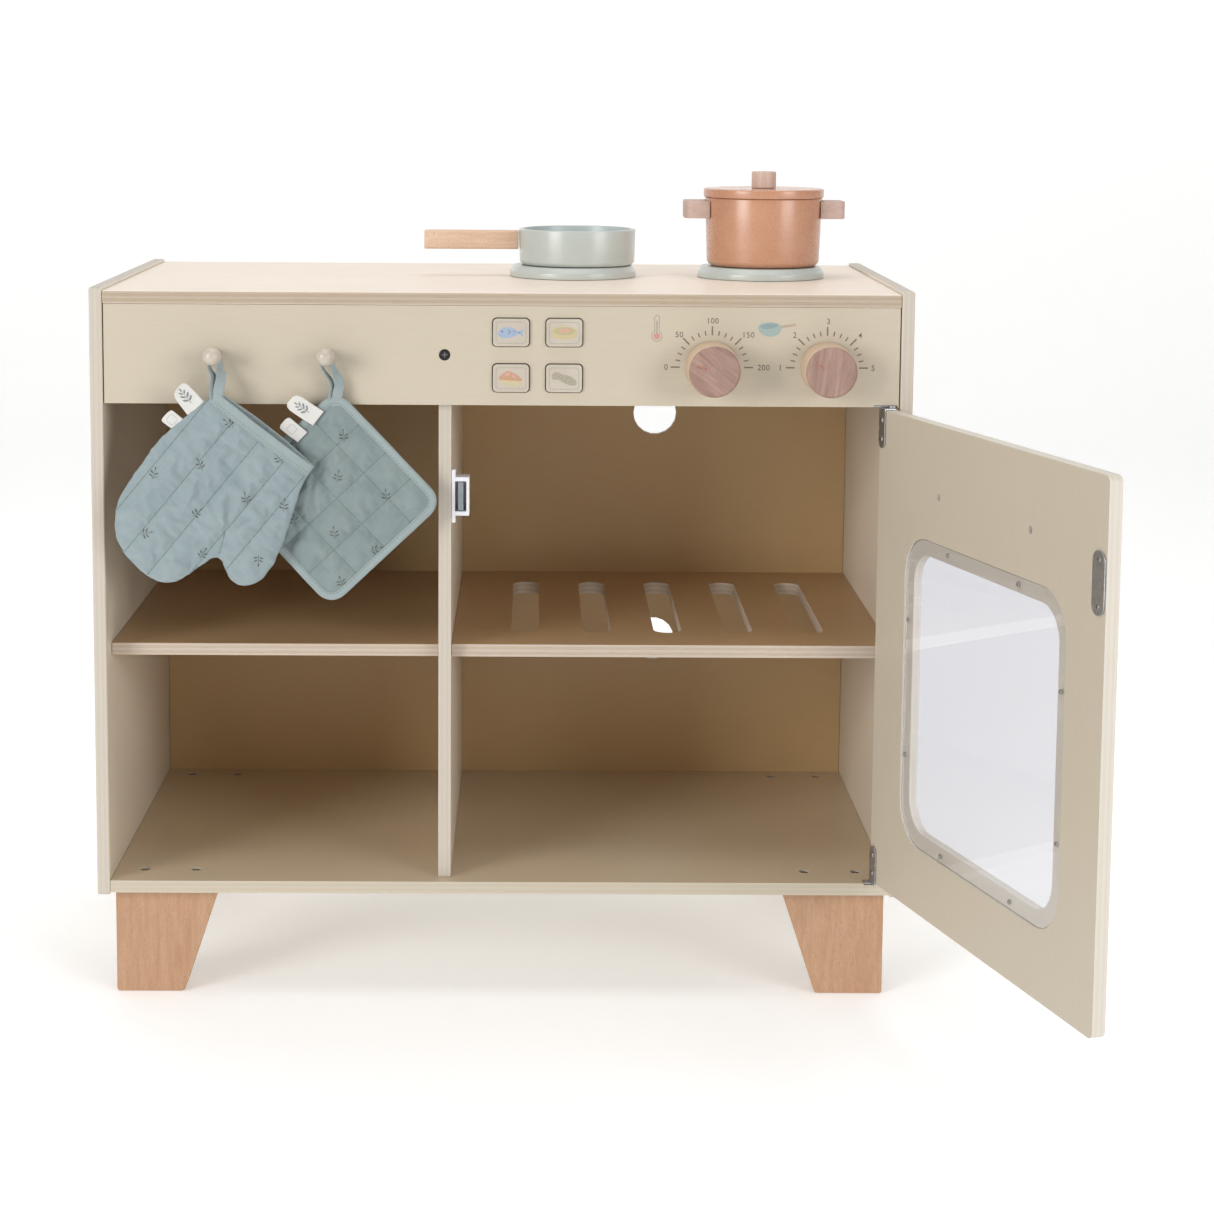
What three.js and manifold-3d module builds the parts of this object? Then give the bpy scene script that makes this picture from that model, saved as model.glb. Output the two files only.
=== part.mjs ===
// Toy kitchen: a low play cabinet with a hob worktop, an open shelf bay, an oven with a hinged window door,
// a control fascia with two turning knobs and four sprung push buttons, a pot with a lid, a pan,
// an oven mitt and a pot holder that hang on two pegs.
// Units are millimetres, +Z is up, the front of the cabinet faces -Y.
import * as THREE from 'three';
import { mergeVertices } from 'three/addons/utils/BufferGeometryUtils.js';
import Module from 'manifold-3d';

const wasm = await Module();
wasm.setup();

// ---------------------------------------------------------------- driving dimensions (mm)
const WIDTH = 620;              // over both side panels
const DEPTH = 319.5;            // front edge to rear face
const PANEL = 9.6;              // plywood panel thickness
const SIDE_TOP = 552;           // side panels stand a little above the worktop
const CARCASS_BOTTOM = 84.6;    // underside of the floor panel and of the side panels
const WORKTOP_TOP = 549.7;
const FASCIA_BOTTOM = 464.6;
const FASCIA_FRONT = 1.6;
const BACK_THICK = 6.2;
const GAP = 0.3;                // clearance between touching pieces
const DIVIDER_X = -43.3;        // centre plane of the divider
const SHELF_FRONT = 22;
const SHELF_TOP = 276.1;
const SLOT = { count: 5, pitch: 56.3, width: 22, front: 66, back: 265 };
const VENT_R = 18.9;
const VENTS = [[131.2, 418.7], [131.2, 216.0]];
const LEG = { height: 84.3, outer: 298.8, top: 80.5, bottom: 52.5, thick: 24, frontY: 17.5, rearY: 286 };
const BOLT_X = [278, 237.8];
const BOLT = { headR: 3.8, headH: 4.6, shankR: 2.5, into: 20, recessR: 4.2, recess: 6.2, holeR: 2.85 };
const HOB = { r: 51.6, thick: 9.5, y: 176, x: [55.5, 209.5] };
const PEG = { z: 502.8, x: [-215.4, -131.1], shankR: 3.2, headR: 7, tip: -27 };
const KNOB = { r: 20, front: -30.3, z: 494.3, x: [157.9, 244.6], boreR: 4.35, spindleR: 4.05 };
const BUTTON = { w: 28.5, h: 22.3, r: 3.6, clear: 0.7, front: -0.7, travel: 2.5, cols: [6.6, 46.6], rows: [519.9, 485.4] };
const DOOR = { x0: -37.5, x1: 299.2, z0: 95.8, z1: 463.0, openDeg: 107, pivot: [294.7, 1.9] };
const WINDOW = { z: 260.9, halfW: 108, halfH: 104.5, r: 24, rebateW: 120, rebateH: 116.3, rebateR: 32, rebateDepth: 3.3, pane: 2.2 };
const HANDLE = { z: 411.4, spacing: 136, length: 164, reach: 28, bar: 12, width: 14, foot: 24 };
const PAN = { x: 58.9, y: 176, r: 47.7, bottom: 559.8, h: 29, wall: 3.2, handle: 77 };
const POT = { x: 211.2, y: 176, rTop: 47.7, rBase: 45.9, bottom: 559.8, top: 615.1, wall: 3.2, lidR: 49.2, lidTop: 622.4 };
// The origin is under the middle of the bounding box of the whole object with its door open.
const ORIGIN = [41.954, 0.732];

// ---------------------------------------------------------------- helpers
const clean = (geometry) => {
  const g0 = geometry.index ? geometry.toNonIndexed() : geometry.clone();
  for (const k of Object.keys(g0.attributes)) if (k !== 'position') g0.deleteAttribute(k);
  const g = mergeVertices(g0, 1e-4);
  const p = g.attributes.position, idx = g.index.array, keep = [];
  let vol = 0;
  const a = new THREE.Vector3(), b = new THREE.Vector3(), c = new THREE.Vector3();
  for (let i = 0; i < idx.length; i += 3) {
    const [i0, i1, i2] = [idx[i], idx[i + 1], idx[i + 2]];
    if (i0 === i1 || i1 === i2 || i0 === i2) continue;
    keep.push(i0, i1, i2);
    a.fromBufferAttribute(p, i0); b.fromBufferAttribute(p, i1); c.fromBufferAttribute(p, i2);
    vol += a.dot(b.cross(c));
  }
  if (vol < 0) for (let i = 0; i < keep.length; i += 3) [keep[i + 1], keep[i + 2]] = [keep[i + 2], keep[i + 1]];
  g.setIndex(keep);
  return g;
};
const solid = (geometry) => {
  const g = clean(geometry);
  return new wasm.Manifold(new wasm.Mesh({ numProp: 3, vertProperties: new Float32Array(g.attributes.position.array), triVerts: new Uint32Array(g.index.array) }));
};
const geom = (m) => {
  const mesh = m.getMesh();
  const g = new THREE.BufferGeometry();
  g.setAttribute('position', new THREE.BufferAttribute(new Float32Array(mesh.vertProperties), 3));
  g.setIndex(Array.from(mesh.triVerts));
  g.computeVertexNormals();
  return g;
};
const box = (x0, x1, y0, y1, z0, z1) => new THREE.BoxGeometry(x1 - x0, y1 - y0, z1 - z0).translate((x0 + x1) / 2, (y0 + y1) / 2, (z0 + z1) / 2);
// a shape drawn in X and Z, extruded from y0 to y1
const plateXZ = (shape, y0, y1, curveSegments = 6) =>
  new THREE.ExtrudeGeometry(shape, { depth: y1 - y0, bevelEnabled: false, curveSegments }).rotateX(Math.PI / 2).translate(0, y1, 0);
// a shape drawn in Y and Z, extruded from x0 to x1
const plateYZ = (shape, x0, x1, curveSegments = 6) =>
  new THREE.ExtrudeGeometry(shape, { depth: x1 - x0, bevelEnabled: false, curveSegments })
    .applyMatrix4(new THREE.Matrix4().set(0, 0, 1, x0, 1, 0, 0, 0, 0, 1, 0, 0, 0, 0, 0, 1));
// a shape drawn in X and Y, extruded from z0 to z1
const plateXY = (shape, z0, z1, curveSegments = 6) =>
  new THREE.ExtrudeGeometry(shape, { depth: z1 - z0, bevelEnabled: false, curveSegments }).translate(0, 0, z0);
const roundRect = (cx, cy, w, h, r) => {
  const s = new THREE.Shape();
  const [x0, x1, y0, y1] = [cx - w / 2, cx + w / 2, cy - h / 2, cy + h / 2];
  s.moveTo(x0 + r, y0);
  s.lineTo(x1 - r, y0); s.absarc(x1 - r, y0 + r, r, -Math.PI / 2, 0, false);
  s.lineTo(x1, y1 - r); s.absarc(x1 - r, y1 - r, r, 0, Math.PI / 2, false);
  s.lineTo(x0 + r, y1); s.absarc(x0 + r, y1 - r, r, Math.PI / 2, Math.PI, false);
  s.lineTo(x0, y0 + r); s.absarc(x0 + r, y0 + r, r, Math.PI, 1.5 * Math.PI, false);
  return s;
};
const circle = (cx, cy, r) => { const s = new THREE.Path(); s.absarc(cx, cy, r, 0, 2 * Math.PI, true); return s; };
// profile of [radius, height] pairs turned about Z
const turnedZ = (profile, x, y, segs = 40) =>
  new THREE.LatheGeometry(profile.map(([r, z]) => new THREE.Vector2(r, z)), segs).rotateX(Math.PI / 2).translate(x, y, 0);
// profile of [radius, y] pairs turned about Y
const turnedY = (profile, x, z, segs = 32) =>
  new THREE.LatheGeometry(profile.map(([r, y]) => new THREE.Vector2(r, y)), segs).translate(x, 0, z);
const rodY = (r, y0, y1, x, z, segs = 16) => turnedY([[0, y0], [r, y0], [r, y1], [0, y1]], x, z, segs);
const rodZ = (r, z0, z1, x, y, segs = 16) => turnedZ([[0, z0], [r, z0], [r, z1], [0, z1]], x, y, segs);

const PAINT = { cream: 0xd6cbb7, worktop: 0xe6d8c6, tan: 0xa08a6c, beech: 0xc99f78, zinc: 0xa5a6a8, sage: 0xb9c0b4, terracotta: 0xc48a68, cloth: 0x9fb0b1, cap: 0xe3ded3, steel: 0x8c8c8c };
const mat = (color, roughness = 0.6, metalness = 0) => new THREE.MeshStandardMaterial({ color, roughness, metalness });

const kitchen = new THREE.Group();
kitchen.name = 'toy_kitchen';
const cabinet = new THREE.Group();
cabinet.position.set(-ORIGIN[0], -ORIGIN[1], 0);
kitchen.add(cabinet);
const add = (name, geometry, material, parent = cabinet) => {
  const mesh = new THREE.Mesh(clean(geometry), material);
  mesh.geometry.computeVertexNormals();
  mesh.name = name;
  parent.add(mesh);
  return mesh;
};

// ---------------------------------------------------------------- carcass
const half = WIDTH / 2, inner = half - PANEL;
const floorTop = CARCASS_BOTTOM + PANEL, worktopBottom = WORKTOP_TOP - PANEL;
const backInner = DEPTH - BACK_THICK, fasciaBack = FASCIA_FRONT + PANEL;
const sideFoot = CARCASS_BOTTOM - 2; // the sides come down a little past the floor panel
const sideShape = roundRect(DEPTH / 2, (sideFoot + SIDE_TOP) / 2, DEPTH, SIDE_TOP - sideFoot, 3);
add('left_side_panel', plateYZ(sideShape, -half, -inner, 3), mat(PAINT.cream));
add('right_side_panel', plateYZ(sideShape, inner, half, 3), mat(PAINT.cream));

// floor panel with counterbored holes for the leg bolts, and a shallow recess for the lower hinge plate
const legRows = [LEG.frontY + LEG.thick / 2, LEG.rearY + LEG.thick / 2];
const boltSpots = [];
for (const sx of [-1, 1]) for (const [row, y] of [['front', legRows[0]], ['rear', legRows[1]]]) for (const [k, x] of BOLT_X.entries())
  boltSpots.push([sx * x, y, `${sx < 0 ? 'left' : 'right'}_${row}_leg_bolt_${k === 0 ? 'outer' : 'inner'}`]);
const [px, py] = DOOR.pivot;
const hingePlateShape = () => {
  const s = new THREE.Shape();
  s.moveTo(281, FASCIA_FRONT + 0.8); s.lineTo(291.6, FASCIA_FRONT + 0.8); s.lineTo(291.9, py);
  s.absarc(px, py, 2.8, Math.PI, 2 * Math.PI, false); s.lineTo(298.2, FASCIA_FRONT + 0.8);
  s.lineTo(298.2, 10.2); s.lineTo(281, 10.2); s.closePath();
  return s;
};
const recess = (z0, z1) => solid(box(280.7, 298.5, -10, 10.5, z0, z1));
let floor = solid(box(-inner + GAP, inner - GAP, 0.6, backInner - GAP, CARCASS_BOTTOM, floorTop));
for (const [x, y] of boltSpots) {
  floor = floor.subtract(solid(rodZ(BOLT.holeR, CARCASS_BOTTOM - 5, floorTop + 5, x, y, 10)));
  floor = floor.subtract(solid(rodZ(BOLT.recessR, floorTop - BOLT.recess, floorTop + 5, x, y, 12)));
}
floor = floor.subtract(recess(floorTop - 1.4, floorTop + 3));
add('floor_panel', geom(floor), mat(PAINT.tan));
add('worktop', box(-inner + GAP, inner - GAP, 0.6, DEPTH, worktopBottom, WORKTOP_TOP), mat(PAINT.worktop));
const back = new THREE.Shape();
back.moveTo(-inner + GAP, CARCASS_BOTTOM); back.lineTo(inner - GAP, CARCASS_BOTTOM); back.lineTo(inner - GAP, worktopBottom - GAP); back.lineTo(-inner + GAP, worktopBottom - GAP); back.closePath();
for (const [x, z] of VENTS) back.holes.push(circle(x, z, VENT_R));
add('back_panel', plateXZ(back, backInner, DEPTH, 9), mat(PAINT.cream));

// divider between the shelf bay and the oven
const screwAt = [DIVIDER_X, 502.6];
let divider = solid(box(DIVIDER_X - PANEL / 2, DIVIDER_X + PANEL / 2, fasciaBack + GAP, backInner - GAP, floorTop + GAP, worktopBottom - GAP));
divider = divider.subtract(solid(rodY(2.2, 0, 34, ...screwAt, 12)));
add('divider_panel', geom(divider), mat(PAINT.tan));

// left shelf and the slotted oven rack
const shelfZ = [SHELF_TOP - PANEL, SHELF_TOP];
add('left_shelf', box(-inner + GAP, DIVIDER_X - PANEL / 2 - GAP, SHELF_FRONT, backInner - GAP, ...shelfZ), mat(PAINT.tan));
const rackX = [DIVIDER_X + PANEL / 2 + GAP, inner - GAP];
const rack = new THREE.Shape();
rack.moveTo(rackX[0], SHELF_FRONT); rack.lineTo(rackX[1], SHELF_FRONT); rack.lineTo(rackX[1], backInner - GAP); rack.lineTo(rackX[0], backInner - GAP); rack.closePath();
for (let k = 0; k < SLOT.count; k++) {
  const cx = (rackX[0] + rackX[1]) / 2 + (k - (SLOT.count - 1) / 2) * SLOT.pitch, r = SLOT.width / 2;
  const h = new THREE.Path();
  h.moveTo(cx + r, SLOT.front + r); h.lineTo(cx + r, SLOT.back - r);
  h.absarc(cx, SLOT.back - r, r, 0, Math.PI, false);
  h.lineTo(cx - r, SLOT.front + r);
  h.absarc(cx, SLOT.front + r, r, Math.PI, 2 * Math.PI, false);
  rack.holes.push(h);
}
add('oven_rack', plateXY(rack, ...shelfZ, 6), mat(PAINT.tan));

// legs: upright outer edge, raked inner edge
for (const [sx, side] of [[-1, 'left'], [1, 'right']]) for (const [row, y] of [['front', LEG.frontY], ['rear', LEG.rearY]]) {
  const s = new THREE.Shape(), o = sx * LEG.outer, r = 2.5;
  s.moveTo(o - sx * r, 0);
  s.lineTo(o - sx * (LEG.bottom - r), 0);
  s.quadraticCurveTo(o - sx * LEG.bottom, 0, o - sx * (LEG.bottom + 0.8), r);
  s.lineTo(o - sx * LEG.top, LEG.height); s.lineTo(o, LEG.height); s.lineTo(o, r);
  s.quadraticCurveTo(o, 0, o - sx * r, 0);
  let leg = solid(plateXZ(s, y, y + LEG.thick, 3));
  for (const x of BOLT_X) leg = leg.subtract(solid(rodZ(BOLT.holeR, LEG.height - BOLT.into - 3, LEG.height + 3, sx * x, y + LEG.thick / 2, 10)));
  add(`${side}_${row}_leg`, geom(leg), mat(PAINT.beech));
}
for (const [x, y, name] of boltSpots) {
  const seat = floorTop - BOLT.recess + GAP;
  add(name, turnedZ([[0, seat + BOLT.headH], [BOLT.headR, seat + BOLT.headH], [BOLT.headR, seat], [BOLT.shankR, seat], [BOLT.shankR, LEG.height - BOLT.into], [0, LEG.height - BOLT.into]], x, y, 10), mat(PAINT.zinc, 0.35, 0.9));
}

// ---------------------------------------------------------------- fascia, pegs, controls
let fascia = solid(box(-inner + 0.9, inner - 0.9, FASCIA_FRONT, fasciaBack, FASCIA_BOTTOM, worktopBottom - GAP));
const buttonSpots = [['top_left', 0, 0], ['top_right', 1, 0], ['bottom_left', 0, 1], ['bottom_right', 1, 1]];
for (const [, c, r] of buttonSpots)
  fascia = fascia.subtract(solid(plateXZ(roundRect(BUTTON.cols[c], BUTTON.rows[r], BUTTON.w, BUTTON.h, BUTTON.r), FASCIA_FRONT - 5, fasciaBack + 5, 5)));
for (const x of KNOB.x) fascia = fascia.subtract(solid(rodY(KNOB.boreR, -5, 20, x, KNOB.z, 20)));
for (const x of PEG.x) fascia = fascia.subtract(solid(rodY(PEG.shankR + 0.3, -5, 20, x, PEG.z, 16)));
fascia = fascia.subtract(solid(rodY(2.3, -5, 20, ...screwAt, 12))).subtract(solid(rodY(4.4, -5, FASCIA_FRONT + 2.6, ...screwAt, 16)));
fascia = fascia.subtract(recess(FASCIA_BOTTOM - 3, FASCIA_BOTTOM + 1.4));
add('fascia_panel', geom(fascia), mat(PAINT.cream));
add('divider_screw', turnedY([[0, FASCIA_FRONT + 0.2], [3.2, FASCIA_FRONT + 0.2], [4.0, FASCIA_FRONT + 0.8], [4.0, FASCIA_FRONT + 2.3], [1.9, FASCIA_FRONT + 2.3], [1.9, 31], [0, 31]], ...screwAt, 16), mat(0x2a2a2a, 0.4, 0.8));

for (const [k, x] of PEG.x.entries()) {
  const c = PEG.tip + PEG.headR, pts = [[0, PEG.tip]];
  for (let i = 1; i <= 6; i++) { const a = (i / 6) * (Math.PI - Math.asin(PEG.shankR / PEG.headR)); pts.push([PEG.headR * Math.sin(a), c - PEG.headR * Math.cos(a)]); }
  pts.push([PEG.shankR, fasciaBack - 0.4], [0, fasciaBack - 0.4]);
  add(k === 0 ? 'left_hook_peg' : 'right_hook_peg', turnedY(pts, x, PEG.z, 14), mat(PAINT.cream));
}
for (const [k, x] of KNOB.x.entries()) {
  const n = k === 0 ? 'temperature' : 'hob';
  const rear = FASCIA_FRONT - GAP, f = KNOB.front;
  add(`${n}_knob`, turnedY([[0, f], [KNOB.r - 2, f], [KNOB.r - 0.5, f + 1.6], [KNOB.r, rear], [KNOB.boreR, rear], [KNOB.boreR, f + 9.7], [0, f + 9.7]], x, KNOB.z, 32), mat(0xd8b596));
  add(`${n}_spindle`, turnedY([[0, f + 10], [KNOB.spindleR, f + 10], [KNOB.spindleR, fasciaBack + GAP], [8, fasciaBack + GAP], [8, fasciaBack + 2.8], [0, fasciaBack + 2.8]], x, KNOB.z, 20), mat(PAINT.zinc, 0.35, 0.9));
}
// four sprung push buttons with a flange behind the fascia, and the tray that carries their springs
const flangeY = [fasciaBack + GAP, fasciaBack + GAP + 1.7];
const trayPlate = [flangeY[1] + 6.4, flangeY[1] + 9.0];
for (const [where, c, r] of buttonSpots) {
  const [x, z] = [BUTTON.cols[c], BUTTON.rows[r]];
  const cap = solid(plateXZ(roundRect(x, z, BUTTON.w - 2 * BUTTON.clear, BUTTON.h - 2 * BUTTON.clear, BUTTON.r - 0.5), BUTTON.front, flangeY[0] + 0.5, 5));
  const flange = solid(plateXZ(roundRect(x, z, BUTTON.w + 3, BUTTON.h + 3, BUTTON.r), flangeY[0], flangeY[1], 3));
  add(`push_button_${where}`, geom(cap.add(flange)), mat(PAINT.cap, 0.5));
  const turns = 3, y0 = flangeY[1] + 0.3 + 0.45, y1 = trayPlate[0] - 0.3 - 0.45;
  const pts = [];
  for (let i = 0; i <= turns * 8; i++) { const a = (i / 8) * 2 * Math.PI; pts.push(new THREE.Vector3(x + 4 * Math.cos(a), y0 + ((y1 - y0) * i) / (turns * 8), z + 4 * Math.sin(a))); }
  const wire = new THREE.Shape();
  for (let i = 0; i < 5; i++) { const a = (i / 5) * 2 * Math.PI; if (i === 0) wire.moveTo(0.45 * Math.cos(a), 0.45 * Math.sin(a)); else wire.lineTo(0.45 * Math.cos(a), 0.45 * Math.sin(a)); }
  wire.closePath();
  add(`button_spring_${where}`, new THREE.ExtrudeGeometry(wire, { steps: turns * 8, bevelEnabled: false, extrudePath: new THREE.CatmullRomCurve3(pts) }), mat(PAINT.steel, 0.3, 0.9));
}
const trayX = [BUTTON.cols[0] - 19, BUTTON.cols[1] + 19], trayZ = [BUTTON.rows[1] - 16, BUTTON.rows[0] + 16];
const tray = solid(box(...trayX, fasciaBack + GAP, trayPlate[1], ...trayZ)).subtract(solid(box(trayX[0] + 2.5, trayX[1] - 2.5, fasciaBack - 5, trayPlate[0], trayZ[0] + 2.5, trayZ[1] - 2.5)));
add('button_tray', geom(tray), mat(PAINT.cream));

// ---------------------------------------------------------------- magnetic catch on the divider
const cx0 = DIVIDER_X + PANEL / 2 + GAP, cy0 = 11.3;
let housing = solid(box(cx0, cx0 + 2.9, cy0, cy0 + 16, 373, 413.7)).add(solid(box(cx0 + 1, cx0 + 13.4, cy0, cy0 + 16, 378.4, 408)));
housing = housing.subtract(solid(box(cx0 + 2.6, cx0 + 11.2, cy0 - 5, cy0 + 12, 381.6, 404.8)));
add('catch_housing', geom(housing), mat(0xe4e4e6, 0.5));
add('catch_magnet', box(cx0 + 4.8, cx0 + 9.0, cy0 + 0.5, cy0 + 11.7, 382.2, 404.2), mat(0x8d9298, 0.4, 0.6));

// ---------------------------------------------------------------- hinge plates with their pins, fixed to the fascia and the floor
const pinTop = geom(solid(plateXY(hingePlateShape(), FASCIA_BOTTOM, FASCIA_BOTTOM + 1.1, 4)).add(solid(rodZ(1.3, FASCIA_BOTTOM - 1.25, FASCIA_BOTTOM + 0.5, px, py, 12))));
add('upper_hinge_plate', pinTop, mat(PAINT.zinc, 0.35, 0.9));
const pinLow = geom(solid(plateXY(hingePlateShape(), floorTop - 1.1, floorTop, 4)).add(solid(rodZ(1.3, floorTop - 0.5, floorTop + 1.25, px, py, 12))));
add('lower_hinge_plate', pinLow, mat(PAINT.zinc, 0.35, 0.9));

// ---------------------------------------------------------------- oven door, built shut and swung open about its hinge pins
const swing = new THREE.Group();
swing.position.set(px, py, 0);
swing.rotation.z = THREE.MathUtils.degToRad(DOOR.openDeg);
cabinet.add(swing);
const door = new THREE.Group();
door.position.set(-px, -py, 0);
swing.add(door);
const doorMid = (DOOR.x0 + DOOR.x1) / 2;
const panelShape = new THREE.Shape(), dr = 2, df = 5.5; // the free edge has the larger corners
panelShape.moveTo(DOOR.x0 + df, DOOR.z0); panelShape.lineTo(DOOR.x1 - dr, DOOR.z0);
panelShape.absarc(DOOR.x1 - dr, DOOR.z0 + dr, dr, -Math.PI / 2, 0, false);
panelShape.lineTo(DOOR.x1, DOOR.z1 - dr); panelShape.absarc(DOOR.x1 - dr, DOOR.z1 - dr, dr, 0, Math.PI / 2, false);
panelShape.lineTo(DOOR.x0 + df, DOOR.z1); panelShape.absarc(DOOR.x0 + df, DOOR.z1 - df, df, Math.PI / 2, Math.PI, false);
panelShape.lineTo(DOOR.x0, DOOR.z0 + df); panelShape.absarc(DOOR.x0 + df, DOOR.z0 + df, df, Math.PI, 1.5 * Math.PI, false);
panelShape.holes.push(new THREE.Path(roundRect(doorMid, WINDOW.z, 2 * WINDOW.halfW, 2 * WINDOW.halfH, WINDOW.r).getPoints(6)));
let panel = solid(plateXZ(panelShape, 0, PANEL, 4));
panel = panel.subtract(solid(plateXZ(roundRect(doorMid, WINDOW.z, 2 * WINDOW.rebateW, 2 * WINDOW.rebateH, WINDOW.rebateR), PANEL - WINDOW.rebateDepth, PANEL + 5, 7)));
const handleX = [doorMid - HANDLE.spacing / 2, doorMid + HANDLE.spacing / 2];
for (const x of handleX) {
  panel = panel.subtract(solid(rodY(2.1, -5, PANEL + 5, x, HANDLE.z, 14)));
  panel = panel.subtract(solid(rodY(2.9, 4, PANEL + 5, x, HANDLE.z, 14)));
}
add('door_panel', geom(panel), mat(PAINT.cream), door);
const paneY = PANEL - WINDOW.rebateDepth + GAP;
add('door_window', plateXZ(roundRect(doorMid, WINDOW.z, 2 * WINDOW.rebateW - 0.8, 2 * WINDOW.rebateH - 0.8, WINDOW.rebateR - 0.4), paneY, paneY + WINDOW.pane, 7),
  new THREE.MeshStandardMaterial({ color: 0xe8eef0, roughness: 0.1, transparent: true, opacity: 0.3 }), door);
// hinge leaves: a leaf on the inner face and an arm over the door's edge to the pin
const leafX = [288.4, 298.9], leafY = [PANEL + GAP, PANEL + GAP + 1];
const armShape = () => {
  const s = new THREE.Shape();
  s.moveTo(leafX[0], leafY[1]); s.lineTo(leafX[0], py);
  s.lineTo(px - 3.6, py); s.absarc(px, py, 3.6, Math.PI, 2 * Math.PI, false); s.lineTo(leafX[1], py); s.lineTo(leafX[1], leafY[1]); s.closePath();
  s.holes.push(circle(px, py, 1.75));
  return s;
};
for (const [name, z, dir] of [['upper_hinge_leaf', FASCIA_BOTTOM - GAP, -1], ['lower_hinge_leaf', floorTop + GAP, 1]]) {
  const tip = z + dir * 30.2, w = (leafX[1] - leafX[0]) / 2, cx = (leafX[0] + leafX[1]) / 2;
  const s = new THREE.Shape();
  s.moveTo(leafX[0], z); s.lineTo(leafX[1], z); s.lineTo(leafX[1], tip - dir * w);
  s.absarc(cx, tip - dir * w, w, 0, dir > 0 ? Math.PI : -Math.PI, dir < 0);
  s.closePath();
  const leaf = solid(plateXZ(s, leafY[0], leafY[1], 5));
  const arm = solid(plateXY(armShape(), Math.min(z, z + dir), Math.max(z, z + dir), 5));
  add(name, geom(leaf.add(arm)), mat(PAINT.zinc, 0.35, 0.9), door);
}
add('striker_plate', plateXZ(roundRect(DOOR.x1 - 327.9, 393.2, 15.4, 42, 7), PANEL + GAP, PANEL + GAP + 0.8, 4), mat(PAINT.zinc, 0.35, 0.9), door);
// bridge handle on the outer face, held by two screws from inside
const hs = new THREE.Shape(), hr = 5, hl = HANDLE.length / 2;
const [hA, hB] = [doorMid - hl, doorMid + hl];
hs.moveTo(hA, -GAP); hs.lineTo(hA, -HANDLE.reach + hr);
hs.absarc(hA + hr, -HANDLE.reach + hr, hr, Math.PI, 1.5 * Math.PI, false);
hs.lineTo(hB - hr, -HANDLE.reach); hs.absarc(hB - hr, -HANDLE.reach + hr, hr, -Math.PI / 2, 0, false);
hs.lineTo(hB, -GAP); hs.lineTo(hB - HANDLE.foot, -GAP); hs.lineTo(hB - HANDLE.foot - 3, -HANDLE.reach + HANDLE.bar);
hs.lineTo(hA + HANDLE.foot + 3, -HANDLE.reach + HANDLE.bar); hs.lineTo(hA + HANDLE.foot, -GAP); hs.closePath();
let handle = solid(plateXY(hs, HANDLE.z - HANDLE.width / 2, HANDLE.z + HANDLE.width / 2, 4));
for (const x of handleX) handle = handle.subtract(solid(rodY(2.1, -14, 5, x, HANDLE.z, 12)));
add('door_handle', geom(handle), mat(PAINT.beech), door);
for (const [k, x] of handleX.entries())
  add(`handle_screw_${k === 0 ? 'a' : 'b'}`, turnedY([[0, 7], [2.5, 7], [2.5, 4.3], [1.75, 4.3], [1.75, -12], [0, -12]], x, HANDLE.z, 12), mat(PAINT.zinc, 0.35, 0.9), door);

// ---------------------------------------------------------------- hob plates, pan, pot and lid
for (const [k, x] of HOB.x.entries()) {
  const z = WORKTOP_TOP + GAP, R = HOB.r, h = HOB.thick - GAP;
  add(k === 0 ? 'left_hob_plate' : 'right_hob_plate', turnedZ([[0, z], [R, z], [R, z + h - 4.4], [R - 0.8, z + h - 2.2], [R - 3.4, z + h], [0, z + h]], x, HOB.y, 36), mat(PAINT.sage));
}
const vessel = (x, y, rBase, rTop, z0, z1, wall, corner) => {
  const rIn = rTop - wall, rBin = rBase - wall;
  return turnedZ([[0, z0], [rBase - corner, z0], [rBase - 0.35 * corner, z0 + 0.3 * corner], [rBase, z0 + corner], [rTop, z1 - 0.6], [rTop - 0.6, z1],
    [rIn, z1], [rBin, z0 + wall + corner], [rBin - corner, z0 + wall], [0, z0 + wall]], x, y, 36);
};
add('pan_body', vessel(PAN.x, PAN.y, PAN.r - 0.4, PAN.r, PAN.bottom, PAN.bottom + PAN.h, PAN.wall, 4), mat(PAINT.sage));
const panEnd = PAN.x - PAN.r - 0.35;
add('pan_handle', plateYZ(roundRect(PAN.y, 579.3, 12, 15.4, 2.2), panEnd - PAN.handle, panEnd, 3), mat(PAINT.beech));
add('pot_body', vessel(POT.x, POT.y, POT.rBase, POT.rTop, POT.bottom, POT.top, POT.wall, 6), mat(PAINT.terracotta));
for (const [sx, side] of [[-1, 'left'], [1, 'right']]) {
  const s = new THREE.Shape(), a = POT.x + sx * 36, b = POT.x + sx * 65.5, hw = 17.5, r = 8;
  s.moveTo(a, POT.y - hw); s.lineTo(b - sx * r, POT.y - hw); s.quadraticCurveTo(b, POT.y - hw, b, POT.y - hw + r);
  s.lineTo(b, POT.y + hw - r); s.quadraticCurveTo(b, POT.y + hw, b - sx * r, POT.y + hw); s.lineTo(a, POT.y + hw); s.closePath();
  const tab = solid(plateXY(s, 598.4, 612.6, 4)).subtract(solid(rodZ(POT.rTop + 0.35, 590, 620, POT.x, POT.y, 36)));
  add(`pot_${side}_handle`, geom(tab), mat(PAINT.beech));
}
const lidBottom = POT.top + GAP, plug = POT.rTop - POT.wall - 0.9;
add('pot_lid', turnedZ([[0, lidBottom - 4], [plug, lidBottom - 4], [plug, lidBottom], [POT.lidR, lidBottom], [POT.lidR, POT.lidTop - 1.2], [POT.lidR - 1.2, POT.lidTop], [0, POT.lidTop]], POT.x, POT.y, 36), mat(PAINT.terracotta));
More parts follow.
